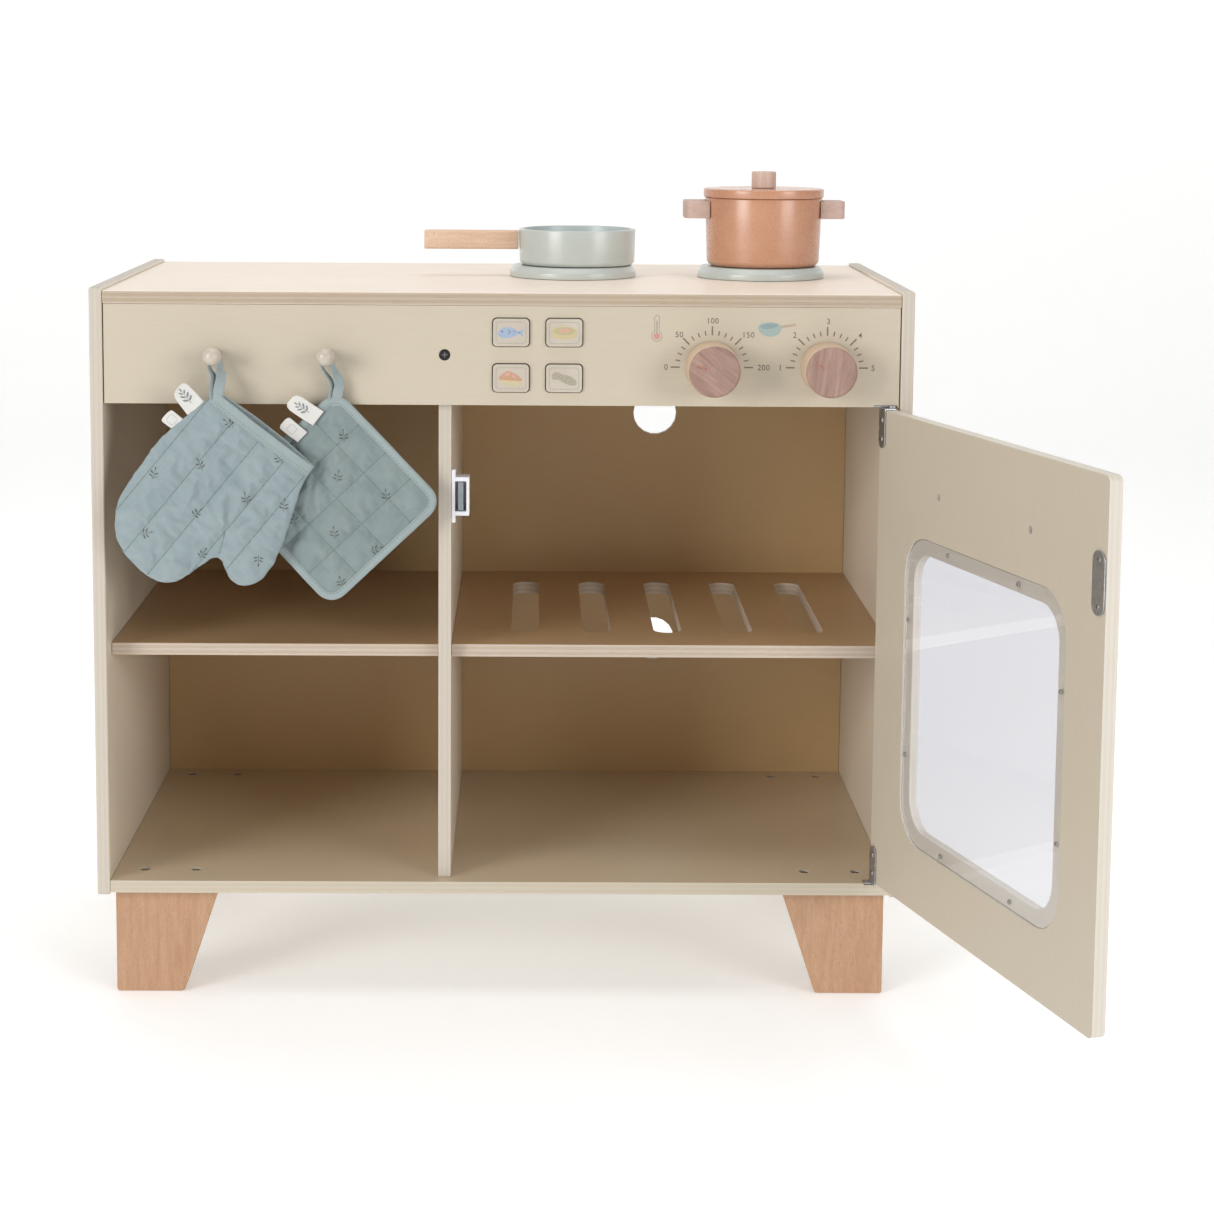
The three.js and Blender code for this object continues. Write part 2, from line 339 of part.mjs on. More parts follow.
add('lid_knob', turnedZ([[0, POT.lidTop + GAP], [9.4, POT.lidTop + GAP], [10, POT.lidTop + 1], [10, POT.lidTop + 12.9], [9.2, POT.lidTop + 13.8], [0, POT.lidTop + 13.8]], POT.x, POT.y, 28), mat(PAINT.beech));

// ---------------------------------------------------------------- soft pieces, as plain closed solids
const loop = (pegX, tipX, tipZ, y0, y1) => {
  const s = new THREE.Shape(), n = 10, R = 5.6, q = [];
  for (let i = 0; i <= n; i++) { const a = (i / n) * Math.PI; q.push(new THREE.Vector2(pegX + R * Math.cos(a), PEG.z + R * Math.sin(a))); }
  s.setFromPoints([...q, new THREE.Vector2(tipX - 4.2, tipZ), new THREE.Vector2(tipX + 4.2, tipZ)]);
  const h = new THREE.Path(), r = 4.2, p = [];
  for (let i = 0; i <= n; i++) { const a = (i / n) * Math.PI; p.push(new THREE.Vector2(pegX + r * Math.cos(a), PEG.z + r * Math.sin(a))); }
  h.setFromPoints([...p, new THREE.Vector2((pegX + 2 * tipX) / 3, (PEG.z + 2 * tipZ) / 3 + 5)]);
  s.holes.push(h);
  return solid(plateXZ(s, y0, y1, 6));
};
const mittCurve = new THREE.CatmullRomCurve3([[-140.6, 419.2], [-148.8, 404.5], [-154.1, 388.6], [-164.8, 357.4], [-173.1, 341.4], [-182.2, 332.2], [-194.2, 329.1], [-203.9, 334.4], [-212.2, 350.4],
  [-226.3, 343.4], [-240.6, 333.4], [-253, 331.1], [-267, 337.1], [-283.0, 353.4], [-289.2, 368], [-289.4, 381.1], [-286.2, 395.5], [-277.0, 410.6], [-264.9, 428.0], [-252.8, 443.1], [-214.3, 475.4]]
  .map(([x, z]) => new THREE.Vector3(x, z, 0)), false, 'centripetal');
const mittShape = new THREE.Shape().setFromPoints([new THREE.Vector2(-211.6, 475.6), ...mittCurve.getPoints(44).map((p) => new THREE.Vector2(p.x, p.y))]);
add('oven_mitt', geom(solid(plateXZ(mittShape, -26.5, -11, 1)).add(loop(PEG.x[0], -213, 469.5, -12.5, -5))), mat(PAINT.cloth, 0.9));
const holderShape = roundRect(0, 0, 118.5, 118.5, 14);
const holder = solid(plateXZ(holderShape, -9, -2, 4).rotateY(THREE.MathUtils.degToRad(46.5)).translate(-126.6, 0, 394));
add('pot_holder', geom(holder.add(loop(PEG.x[1], -125.5, 468, -8.6, -2.4))), mat(PAINT.cloth, 0.9));

export default kitchen;
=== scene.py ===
import math
import bpy
import bmesh
import numpy as np
from mathutils import Vector, Matrix, Quaternion
from mathutils import geometry as mgeo
from mathutils.bvhtree import BVHTree


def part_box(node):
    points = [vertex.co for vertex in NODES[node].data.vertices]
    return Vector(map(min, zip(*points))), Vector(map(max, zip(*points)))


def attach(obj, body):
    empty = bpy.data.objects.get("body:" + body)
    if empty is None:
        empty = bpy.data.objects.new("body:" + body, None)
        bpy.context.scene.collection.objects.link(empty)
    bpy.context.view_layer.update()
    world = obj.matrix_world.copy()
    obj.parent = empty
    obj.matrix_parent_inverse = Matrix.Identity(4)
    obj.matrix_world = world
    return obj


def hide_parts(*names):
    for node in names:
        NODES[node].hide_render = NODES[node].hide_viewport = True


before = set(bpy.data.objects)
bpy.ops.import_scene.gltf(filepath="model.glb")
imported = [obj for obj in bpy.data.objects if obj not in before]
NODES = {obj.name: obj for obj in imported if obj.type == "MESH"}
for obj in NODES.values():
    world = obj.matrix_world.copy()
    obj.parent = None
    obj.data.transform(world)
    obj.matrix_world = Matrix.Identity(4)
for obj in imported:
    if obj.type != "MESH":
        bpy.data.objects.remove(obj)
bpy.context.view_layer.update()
SCENE = bpy.context.scene

# ------------------------------------------------------------------ places, in cabinet millimetres
_lo, _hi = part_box("left_side_panel")
X0 = _lo.x + 0.310
Y0 = _lo.y


def V(x, y, z):
    """A point given in millimetres from the middle of the cabinet's front edge, on the ground."""
    return Vector((X0 + x / 1000, Y0 + y / 1000, z / 1000))


def mm(node):
    """A CAD node's box in cabinet millimetres: x0, x1, y0, y1, z0, z1."""
    lo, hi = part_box(node)
    return ((lo.x - X0) * 1000, (hi.x - X0) * 1000, (lo.y - Y0) * 1000, (hi.y - Y0) * 1000, lo.z * 1000, hi.z * 1000)


rng = np.random.RandomState(7)
WORLD, KEY, FILL, TOPL, GLOW = 0.32, 150.0, 100.0, 36.0, 0.25


def srgb(h):
    h = h.lstrip("#")
    c = [int(h[i:i + 2], 16) / 255 for i in (0, 2, 4)]
    return tuple((x / 12.92 if x <= 0.04045 else ((x + 0.055) / 1.055) ** 2.4) for x in c) + (1.0,)


def scale_rgb(c, k):
    return tuple(min(1.0, x * k) for x in c[:3]) + (1.0,)


# ------------------------------------------------------------------ materials
class Mat:
    """A small builder for node materials."""

    def __init__(self, name):
        self.m = bpy.data.materials.new(name)
        self.m.use_nodes = True
        self.t = self.m.node_tree
        self.t.nodes.clear()
        self.out = self.t.nodes.new("ShaderNodeOutputMaterial")
        self.b = self.t.nodes.new("ShaderNodeBsdfPrincipled")
        self.t.links.new(self.b.outputs[0], self.out.inputs[0])
        self.tc = self.t.nodes.new("ShaderNodeTexCoord")

    def put(self, sock, v):
        if isinstance(v, bpy.types.NodeSocket):
            self.t.links.new(v, sock)
        elif v is not None:
            sock.default_value = v

    def node(self, kind, ins=None, **props):
        n = self.t.nodes.new(kind)
        for k, v in props.items():
            setattr(n, k, v)
        for k, v in (ins or {}).items():
            self.put(n.inputs[k], v)
        return n

    def math(self, op, a, b=0.0, c=None, clamp=False):
        n = self.node("ShaderNodeMath", {0: a, 1: b}, operation=op, use_clamp=clamp)
        if c is not None:
            self.put(n.inputs[2], c)
        return n.outputs[0]

    def dot(self, v, axis):
        n = self.node("ShaderNodeVectorMath", {0: v}, operation="DOT_PRODUCT")
        n.inputs[1].default_value = tuple(axis)
        return n.outputs["Value"]

    def xyz(self, x, y, z):
        return self.node("ShaderNodeCombineXYZ", {0: x, 1: y, 2: z}).outputs[0]

    def noise(self, vec, scale, detail=3.0, rough=0.55, distortion=0.0):
        n = self.node("ShaderNodeTexNoise", {"Vector": vec, "Scale": scale, "Detail": detail, "Roughness": rough, "Distortion": distortion})
        return n.outputs["Fac"]

    def ramp(self, fac, stops, interp="LINEAR"):
        n = self.node("ShaderNodeValToRGB", {0: fac})
        n.color_ramp.interpolation = interp
        e = n.color_ramp.elements
        while len(e) < len(stops):
            e.new(0.5)
        for i, (p, c) in enumerate(stops):
            e[i].position = p
            e[i].color = c if len(c) == 4 else tuple(c) + (1,)
        return n.outputs[0]

    def grey(self, fac, stops, interp="LINEAR"):
        return self.ramp(fac, [(p, (v, v, v, 1)) for p, v in stops], interp)

    def mix(self, fac, a, b, blend="MIX"):
        n = self.t.nodes.new("ShaderNodeMix")
        n.data_type = "RGBA"
        n.blend_type = blend
        self.put(n.inputs[0], fac)
        self.put(n.inputs[6], a)
        self.put(n.inputs[7], b)
        return n.outputs[2]

    def bump(self, height, strength, distance, normal=None):
        n = self.node("ShaderNodeBump", {"Height": height, "Strength": strength, "Distance": distance})
        if normal is not None:
            self.put(n.inputs["Normal"], normal)
        return n.outputs[0]

    def set(self, **kw):
        for k, v in kw.items():
            self.put(self.b.inputs[k.replace("_", " ")], v)
        return self


XA, YA, ZA = Vector((1, 0, 0)), Vector((0, 1, 0)), Vector((0, 0, 1))
THETA = math.radians(107.0)     # the door's open angle in the rest pose
DXA = Vector((math.cos(THETA), math.sin(THETA), 0))      # along the shut door's +X
DYA = Vector((-math.sin(THETA), math.cos(THETA), 0))     # through the door, outer face to inner face
PIVOT = (294.7, 1.9)


def door_point(x, y, z):
    """A point of the shut door, in millimetres, at its place in the rest pose."""
    dx, dy = x - PIVOT[0], y - PIVOT[1]
    return V(PIVOT[0] + dx * math.cos(THETA) - dy * math.sin(THETA), PIVOT[1] + dx * math.sin(THETA) + dy * math.cos(THETA), z)


def panel_material(name, base, grain, across, through, w0, thick, seed=0.0, natural=0.0, rough=0.42, edge=None, inner=None, inner_side=None, coat=0.12, edge_light=None, grain_mix=0.05):
    """Lacquered plywood. grain, across and through are unit axes; w0 is where the panel starts along through, in metres, and thick its thickness.
    natural 1 shows veneer and plies, 0 is opaque lacquer with the plies only just telegraphing through on the cut edges."""
    m = Mat(name)
    p, nrm = m.tc.outputs["Object"], m.tc.outputs["Normal"]
    g = m.math("MULTIPLY", m.dot(p, grain), 1000.0)
    c = m.math("MULTIPLY", m.dot(p, across), 1000.0)
    w = m.math("MULTIPLY", m.math("SUBTRACT", m.dot(p, through), w0), 1.0 / thick)
    facing = m.math("ABSOLUTE", m.dot(nrm, through))
    edge_mask = m.math("SUBTRACT", 1.0, m.node("ShaderNodeMapRange", {"Value": facing, "From Min": 0.35, "From Max": 0.75}, interpolation_type="SMOOTHSTEP").outputs[0])
    long_vec = m.xyz(m.math("MULTIPLY", g, 0.012), m.math("MULTIPLY", c, 0.16), seed)
    streak = m.noise(long_vec, 3.0, 5.0, 0.62, 0.6)
    fine_vec = m.xyz(m.math("MULTIPLY", g, 0.11), m.math("MULTIPLY", c, 1.7), m.math("MULTIPLY", w, 2.0))
    fine = m.noise(fine_vec, 1.6, 4.0, 0.6, 0.2)
    cloud = m.noise(m.xyz(m.math("MULTIPLY", g, 0.008), m.math("MULTIPLY", c, 0.008), seed + 3.3), 1.4, 2.0, 0.5)
    # lacquer or veneer colour on the faces; where inner is given, the faces towards inner_side take that colour
    # instead, which paints light and shade onto the faces inside the cabinet
    b0 = base
    if inner is not None:
        side = m.node("ShaderNodeMapRange", {"Value": m.dot(nrm, inner_side), "From Min": 0.3, "From Max": 0.8}, interpolation_type="SMOOTHSTEP").outputs[0]
        b0 = m.mix(side, base, inner)
    dark = m.mix(1.0, b0, scale_rgb((0.80, 0.72, 0.62), 1.0) if natural > 0.5 else (0.93, 0.915, 0.89, 1), "MULTIPLY")
    amount = m.math("MULTIPLY", m.grey(streak, [(0.3, 0.0), (0.72, 1.0)]), 0.55 if natural > 0.5 else 0.5)
    face = m.mix(amount, b0, dark)
    face = m.mix(m.math("MULTIPLY", m.grey(fine, [(0.42, 0.0), (0.68, 1.0)]), grain_mix if natural < 0.5 else 0.32), face, m.mix(1.0, b0, (0.70, 0.60, 0.48, 1), "MULTIPLY"))
    face = m.mix(m.math("MULTIPLY", m.grey(cloud, [(0.35, 0.0), (0.7, 1.0)]), 0.22), face, m.mix(1.0, b0, (1.05, 1.04, 1.02, 1), "MULTIPLY"))
    # plies on the cut edges
    wob = m.math("MULTIPLY_ADD", m.noise(m.xyz(m.math("MULTIPLY", g, 0.02), m.math("MULTIPLY", c, 0.02), seed), 1.0, 2.0), 0.05, m.math("SUBTRACT", w, 0.025))
    e_light = edge or base
    e_dark = m.mix(1.0, e_light, (0.90, 0.86, 0.80, 1) if natural > 0.5 else (0.955, 0.945, 0.93, 1), "MULTIPLY")
    e_line = m.mix(1.0, e_light, (0.40, 0.30, 0.21, 1) if natural > 0.5 else (0.90, 0.885, 0.86, 1), "MULTIPLY")
    plies = m.grey(wob, [(0.0, 0.0), (0.20, 0.0), (0.215, 1.0), (0.375, 1.0), (0.39, 0.0), (0.60, 0.0), (0.615, 1.0), (0.785, 1.0), (0.80, 0.0)])
    glue = m.grey(wob, [(0.190, 0.0), (0.207, 1.0), (0.225, 0.0), (0.37, 0.0), (0.383, 1.0), (0.398, 0.0), (0.592, 0.0), (0.607, 1.0), (0.622, 0.0), (0.778, 0.0), (0.793, 1.0), (0.81, 0.0)])
    dash = m.noise(m.xyz(m.math("MULTIPLY", g, 0.035), m.math("MULTIPLY", c, 0.035), m.math("MULTIPLY", w, 4.0)), 1.3, 3.0, 0.7, 0.4)
    voids = m.math("MULTIPLY", glue, m.grey(dash, [(0.52, 0.30 if natural > 0.5 else 0.12), (0.62, 1.0)]))
    end_fine = m.noise(m.xyz(m.math("MULTIPLY", g, 1.4), m.math("MULTIPLY", c, 1.4), m.math("MULTIPLY", w, 9.0)), 1.5, 3.0)
    edge_col = m.mix(plies, e_light, e_dark)
    edge_col = m.mix(m.math("MULTIPLY", m.grey(end_fine, [(0.45, 0.0), (0.7, 1.0)]), 0.35 if natural > 0.5 else 0.12), edge_col, e_dark)
    edge_col = m.mix(voids, edge_col, e_line)
    if edge_light is not None:
        edge_col = m.mix(edge_light, edge_col, (0.93, 0.89, 0.83, 1))
    colour = m.mix(edge_mask, face, edge_col)
    rgh = m.math("ADD", m.math("MULTIPLY", cloud, 0.10), rough - 0.05)
    rgh = m.math("ADD", rgh, m.math("MULTIPLY", edge_mask, 0.12))
    peel = m.noise(m.xyz(g, c, m.math("MULTIPLY", w, 9.0)), 0.35, 3.0, 0.5)
    h1 = m.math("MULTIPLY", fine, 0.6 if natural > 0.5 else 0.42)
    h2 = m.math("MULTIPLY", peel, 0.35)
    h3 = m.math("MULTIPLY", m.math("MULTIPLY", glue, edge_mask), -1.2 if natural > 0.5 else -0.7)
    hgt = m.math("ADD", m.math("ADD", h1, h2), h3)
    m.set(Base_Color=colour, Roughness=rgh, Normal=m.bump(hgt, 0.35, 0.00025))
    m.b.inputs["Specular IOR Level"].default_value = 0.42
    m.b.inputs["Coat Weight"].default_value = coat
    m.b.inputs["Coat Roughness"].default_value = 0.28
    return m.m


def paint_material(name, base, dark, rough=0.38, coat=0.15, scale=1.0, relief=0.06):
    """Sprayed satin lacquer on turned wood: slight mottling, orange peel and very faint turning lines."""
    m = Mat(name)
    p = m.tc.outputs["Object"]
    v = m.node("ShaderNodeVectorMath", {0: p, 3: 1000.0}, operation="SCALE").outputs[0]
    cloud = m.noise(v, 0.03 * scale, 3.0, 0.55, 0.3)
    speck = m.noise(v, 1.9, 2.0, 0.6)
    fine = m.noise(v, 0.55, 3.0, 0.55)
    sep = m.node("ShaderNodeSeparateXYZ", {0: v})
    ring = m.noise(m.xyz(0.0, 0.0, sep.outputs[2]), 1.1, 2.0, 0.5)
    col = m.mix(m.grey(cloud, [(0.35, 0.0), (0.68, 1.0)]), base, dark)
    col = m.mix(m.math("MULTIPLY", m.grey(speck, [(0.60, 0.0), (0.78, 1.0)]), 0.08), col, scale_rgb(dark, 0.82))
    m.set(Base_Color=col, Roughness=m.math("ADD", m.math("MULTIPLY", fine, 0.14), rough - 0.07),
          Normal=m.bump(m.math("ADD", m.math("MULTIPLY", fine, 0.6), m.math("MULTIPLY", ring, 0.3)), relief, 0.00014))
    m.b.inputs["Specular IOR Level"].default_value = 0.45
    m.b.inputs["Coat Weight"].default_value = coat
    m.b.inputs["Coat Roughness"].default_value = 0.22
    return m.m


def beech_material(name, light, dark, grain, across, third, seed=0.0, rough=0.5, fleck=1.0, figure=0.7):
    """Oiled beech: long figure along the grain, fine pores and the short dark ray flecks that beech has."""
    m = Mat(name)
    p = m.tc.outputs["Object"]
    g = m.math("MULTIPLY", m.dot(p, grain), 1000.0)
    c = m.math("MULTIPLY", m.dot(p, across), 1000.0)
    t = m.math("MULTIPLY", m.dot(p, third), 1000.0)
    fig = m.noise(m.xyz(m.math("MULTIPLY", g, 0.012), m.math("MULTIPLY", c, 0.10), m.math("MULTIPLY_ADD", t, 0.10, seed)), 1.8, 4.0, 0.6, 0.7)
    fine = m.noise(m.xyz(m.math("MULTIPLY", g, 0.10), m.math("MULTIPLY", c, 1.5), m.math("MULTIPLY_ADD", t, 1.5, seed)), 1.2, 4.0, 0.62, 0.15)
    ray = m.noise(m.xyz(m.math("MULTIPLY", g, 0.55), m.math("MULTIPLY", c, 2.6), m.math("MULTIPLY_ADD", t, 2.6, seed + 9.0)), 0.9, 1.5, 0.5)
    col = m.mix(m.math("MULTIPLY", m.grey(fig, [(0.3, 0.0), (0.7, 1.0)]), figure), light, dark)
    col = m.mix(m.math("MULTIPLY", m.grey(fine, [(0.45, 0.0), (0.72, 1.0)]), 0.42), col, scale_rgb(dark, 0.82))
    col = m.mix(m.math("MULTIPLY", m.grey(ray, [(0.60, 0.0), (0.67, 1.0)]), 0.5 * fleck), col, scale_rgb(dark, 0.66))
    hgt = m.math("ADD", m.math("MULTIPLY", fine, -0.8), m.math("MULTIPLY", ray, -0.3))
    m.set(Base_Color=col, Roughness=m.math("ADD", m.math("MULTIPLY", fine, 0.16), rough - 0.07), Normal=m.bump(hgt, 0.3, 0.0002))
    m.b.inputs["Specular IOR Level"].default_value = 0.4
    return m.m


def metal_material(name, base, rough=0.34, dark=None, scale=1.0, metallic=1.0):
    m = Mat(name)
    v = m.node("ShaderNodeVectorMath", {0: m.tc.outputs["Object"], 3: 1000.0}, operation="SCALE").outputs[0]
    cloud = m.noise(v, 0.28 * scale, 4.0, 0.65, 0.5)
    fine = m.noise(v, 3.2 * scale, 3.0, 0.6)
    col = m.mix(m.grey(cloud, [(0.35, 0.0), (0.7, 1.0)]), base, dark or scale_rgb(base, 0.72))
    m.set(Base_Color=col, Metallic=metallic, Roughness=m.math("ADD", m.math("MULTIPLY", cloud, 0.22), rough - 0.08), Normal=m.bump(fine, 0.18, 0.00012))
    return m.m


def plastic_material(name, base, rough=0.42):
    m = Mat(name)
    v = m.node("ShaderNodeVectorMath", {0: m.tc.outputs["Object"], 3: 1000.0}, operation="SCALE").outputs[0]
    n1 = m.noise(v, 2.2, 3.0, 0.6)
    n2 = m.noise(v, 0.2, 2.0, 0.5)
    m.set(Base_Color=m.mix(m.grey(n2, [(0.3, 0.0), (0.75, 1.0)]), base, scale_rgb(base, 0.9)), Roughness=m.math("ADD", m.math("MULTIPLY", n1, 0.12), rough - 0.05), Normal=m.bump(n1, 0.15, 0.0001))
    return m.m


def ink_material(name, base, rough=0.6):
    """Printed ink, slightly uneven."""
    m = Mat(name)
    v = m.node("ShaderNodeVectorMath", {0: m.tc.outputs["Object"], 3: 1000.0}, operation="SCALE").outputs[0]
    n1 = m.noise(v, 1.4, 3.0, 0.65)
    m.set(Base_Color=m.mix(m.grey(n1, [(0.35, 0.0), (0.7, 1.0)]), base, m.mix(0.25, base, (0.75, 0.70, 0.62, 1))), Roughness=m.math("ADD", m.math("MULTIPLY", n1, 0.15), rough - 0.06))
    return m.m


def cloth_material(name, base, light, angle=0.0, weave=1.0, sheen=0.35, rough=0.88, mottle=0.55):
    """Plain woven cotton in the X-Z plane, with slubs, fade and a soft nap."""
    m = Mat(name)
    p = m.tc.outputs["Object"]
    ca, sa = math.cos(angle), math.sin(angle)
    u = m.math("MULTIPLY", m.dot(p, (ca, 0, sa)), 1000.0)
    v = m.math("MULTIPLY", m.dot(p, (-sa, 0, ca)), 1000.0)
    y = m.math("MULTIPLY", m.dot(p, (0, 1, 0)), 1000.0)
    vec = m.xyz(u, v, y)
    pitch = 0.42 * weave
    wu = m.math("SINE", m.math("MULTIPLY", u, math.pi / pitch))
    wv = m.math("SINE", m.math("MULTIPLY", v, math.pi / pitch))
    over = m.math("MULTIPLY", wu, wv)
    slub_u = m.noise(m.xyz(m.math("MULTIPLY", u, 0.09), m.math("MULTIPLY", v, 2.4), 0.0), 1.0, 2.0)
    slub_v = m.noise(m.xyz(m.math("MULTIPLY", u, 2.4), m.math("MULTIPLY", v, 0.09), 4.0), 1.0, 2.0)
    fade = m.noise(vec, 0.045, 4.0, 0.6, 0.6)
    fuzz = m.noise(vec, 2.8, 3.0, 0.7)
    col = m.mix(m.math("MULTIPLY", m.grey(fade, [(0.32, 0.0), (0.68, 1.0)]), mottle), base, light)
    thread = m.math("MULTIPLY_ADD", over, 0.10, m.math("MULTIPLY", m.math("ADD", slub_u, slub_v), 0.5))
    col = m.mix(m.math("MULTIPLY", m.grey(thread, [(0.40, 1.0), (0.62, 0.0)]), 0.32), col, scale_rgb(base, 0.74))
    hgt = m.math("ADD", m.math("MULTIPLY", over, 0.45), m.math("ADD", m.math("MULTIPLY", thread, 1.1), m.math("MULTIPLY", fuzz, 0.45)))
    m.set(Base_Color=col, Roughness=m.math("ADD", m.math("MULTIPLY", fuzz, 0.1), rough - 0.05), Normal=m.bump(hgt, 0.5, 0.00022))
    m.b.inputs["Sheen Weight"].default_value = sheen
    m.b.inputs["Sheen Roughness"].default_value = 0.55
    m.b.inputs["Sheen Tint"].default_value = (0.86, 0.92, 0.93, 1)
    m.b.inputs["Specular IOR Level"].default_value = 0.2
    return m.m


CREAM = srgb("#bfb5a3")
CREAM_EDGE = srgb("#c1b8ac")
# The next three colours are copies of the cream lacquer with the light inside the bays painted in: lighter and warmer
# for the floor's top, lighter for the inner side walls and the divider, darker and browner for the inner face of the
# back.
INSIDE_PAINTED_BAY_LIGHT = srgb("#cebda3")
SIDE_IN_PAINTED_LIGHT = srgb("#dbd0bf")
INSIDE_BACK_PAINTED_SHADE = srgb("#c9aa7d")
NATURAL = srgb("#c0a07a")
TOP = srgb("#f4e8dc")
PLY_EDGE = srgb("#c0b2a3")


def sheet_place(node, axis):
    """Start along an axis and thickness of a flat panel, in metres."""
    lo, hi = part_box(node)
    i = {"X": 0, "Y": 1, "Z": 2}[axis]
    return lo[i], hi[i] - lo[i]


def axis_panel(node, name, axis, grain, across, **kw):
    w0, th = sheet_place(node, axis)
    return panel_material(name, kw.pop("base", CREAM), grain, across, {"X": XA, "Y": YA, "Z": ZA}[axis], w0, th, **kw)


def assign(node, mat):
    o = NODES[node]
    o.data.materials.clear()
    o.data.materials.append(mat)


MATS = {}
# The sides' inner faces and the divider carry painted light, the floor's top a painted warm light, and the back's inner
# face painted shade.
MATS["left_side_panel"] = axis_panel("left_side_panel", "lacquer_left_side_painted_inner_light", "X", ZA, YA, seed=1.0, edge=CREAM_EDGE, inner=SIDE_IN_PAINTED_LIGHT, inner_side=XA)
MATS["right_side_panel"] = axis_panel("right_side_panel", "lacquer_right_side_painted_inner_light", "X", ZA, YA, seed=2.0, edge=CREAM_EDGE, inner=SIDE_IN_PAINTED_LIGHT, inner_side=-XA)
MATS["floor_panel"] = axis_panel("floor_panel", "lacquer_floor_painted_inner_light", "Z", XA, YA, seed=3.0, inner=INSIDE_PAINTED_BAY_LIGHT, inner_side=ZA)
MATS["back_panel"] = axis_panel("back_panel", "lacquer_back_painted_inner_shade", "Y", XA, ZA, seed=4.0, inner=INSIDE_BACK_PAINTED_SHADE, inner_side=-YA)
MATS["fascia_panel"] = axis_panel("fascia_panel", "lacquer_fascia", "Y", XA, ZA, seed=5.0, grain_mix=0.03)
MATS["divider_panel"] = axis_panel("divider_panel", "lacquer_divider_painted_light", "X", ZA, YA, seed=6.0, base=SIDE_IN_PAINTED_LIGHT, edge=CREAM_EDGE)
MATS["worktop"] = axis_panel("worktop", "clear_lacquered_birch_top", "Z", XA, YA, seed=7.0, natural=1.0, base=TOP, edge=srgb("#b3a492"), rough=0.5)
MATS["left_shelf"] = axis_panel("left_shelf", "clear_lacquered_birch_shelf", "Z", XA, YA, seed=8.0, natural=1.0, base=NATURAL, edge=PLY_EDGE, rough=0.46)
MATS["oven_rack"] = axis_panel("oven_rack", "clear_lacquered_birch_rack", "Z", XA, YA, seed=9.5, natural=1.0, base=NATURAL, edge=PLY_EDGE, rough=0.46)
# the tray behind the buttons takes the floor's inner colour darkened further: painted shade in the recess
MATS["button_tray"] = axis_panel("button_tray", "lacquer_tray_painted_shade", "Y", XA, ZA, seed=11.0, base=scale_rgb(INSIDE_PAINTED_BAY_LIGHT, 0.8))
_dw = (Vector(door_point(0, 0, 0)) - Vector((0, 0, 0))).dot(DYA)
MATS["door_panel"] = panel_material("lacquer_door", srgb("#bab09f"), ZA, DXA, DYA, _dw, 0.0096, seed=12.0, edge=srgb("#d3ccc0"), grain_mix=0.03)

BEECH_L, BEECH_D = srgb("#bc987b"), srgb("#a77e5e")
beech_z = beech_material("beech_leg", BEECH_L, BEECH_D, ZA, XA, YA, 1.0)
for i, n in enumerate(["left_front_leg", "right_front_leg", "left_rear_leg", "right_rear_leg"]):
    MATS[n] = beech_material("beech_" + n, BEECH_L, BEECH_D, ZA, XA, YA, 1.0 + 3.7 * i)
MATS["pan_handle"] = beech_material("beech_pan_handle", srgb("#dcc0a8"), srgb("#c6a287"), XA, ZA, YA, 21.0, fleck=1.2)
POT_L, POT_D = srgb("#c6ada2"), srgb("#b19588")
MATS["pot_left_handle"] = beech_material("beech_pot_left", POT_L, POT_D, XA, ZA, YA, 23.0)
MATS["pot_right_handle"] = beech_material("beech_pot_right", POT_L, POT_D, XA, ZA, YA, 27.0)
MATS["lid_knob"] = beech_material("beech_lid_knob", srgb("#d4bcae"), srgb("#bf9f8e"), ZA, XA, YA, 31.0)
MATS["door_handle"] = beech_material("beech_door_handle", BEECH_L, BEECH_D, DXA, ZA, DYA, 33.0)
ZINC = metal_material("zinc_plate", (0.56, 0.58, 0.61, 1), 0.33)
BOLT_Z = metal_material("zinc_bolt", (0.42, 0.41, 0.40, 1), 0.36)
BOLT_D = metal_material("dull_bolt", (0.10, 0.085, 0.07, 1), 0.42, metallic=0.8)
for n in NODES:
    if "leg_bolt" in n:
        MATS[n] = BOLT_D
    elif "spindle" in n or "handle_screw" in n:
        MATS[n] = BOLT_Z
for n in ("upper_hinge_plate", "lower_hinge_plate", "upper_hinge_leaf", "lower_hinge_leaf", "striker_plate"):
    MATS[n] = ZINC
MATS["divider_screw"] = metal_material("black_oxide_screw", (0.035, 0.035, 0.037, 1), 0.38, metallic=0.7)
MATS["catch_housing"] = plastic_material("catch_plastic", srgb("#e4e4e8"))
MATS["catch_magnet"] = metal_material("magnet_grey", (0.30, 0.33, 0.36, 1), 0.45, metallic=0.5)
SPRING = metal_material("spring_wire", (0.5, 0.5, 0.52, 1), 0.3)
for w in ("top_left", "top_right", "bottom_left", "bottom_right"):
    MATS["button_spring_" + w] = SPRING
CAP = paint_material("button_lacquer", srgb("#bdb4a7"), srgb("#b5ab9d"), 0.40)
for w in ("top_left", "top_right", "bottom_left", "bottom_right"):
    MATS["push_button_" + w] = CAP
SAGE = paint_material("sage_lacquer", srgb("#bbc0bb"), srgb("#b2b8b3"), 0.30, 0.35)
SAGE_IN = paint_material("sage_lacquer_inside", srgb("#bcc6c5"), srgb("#b0bbbb"), 0.36, 0.25)
TERRA = paint_material("terracotta_lacquer", srgb("#c09073"), srgb("#b98569"), 0.28, 0.35, relief=0.02)
PEG_M = paint_material("peg_lacquer", srgb("#beb4a7"), srgb("#b5ab9d"), 0.30, 0.3)

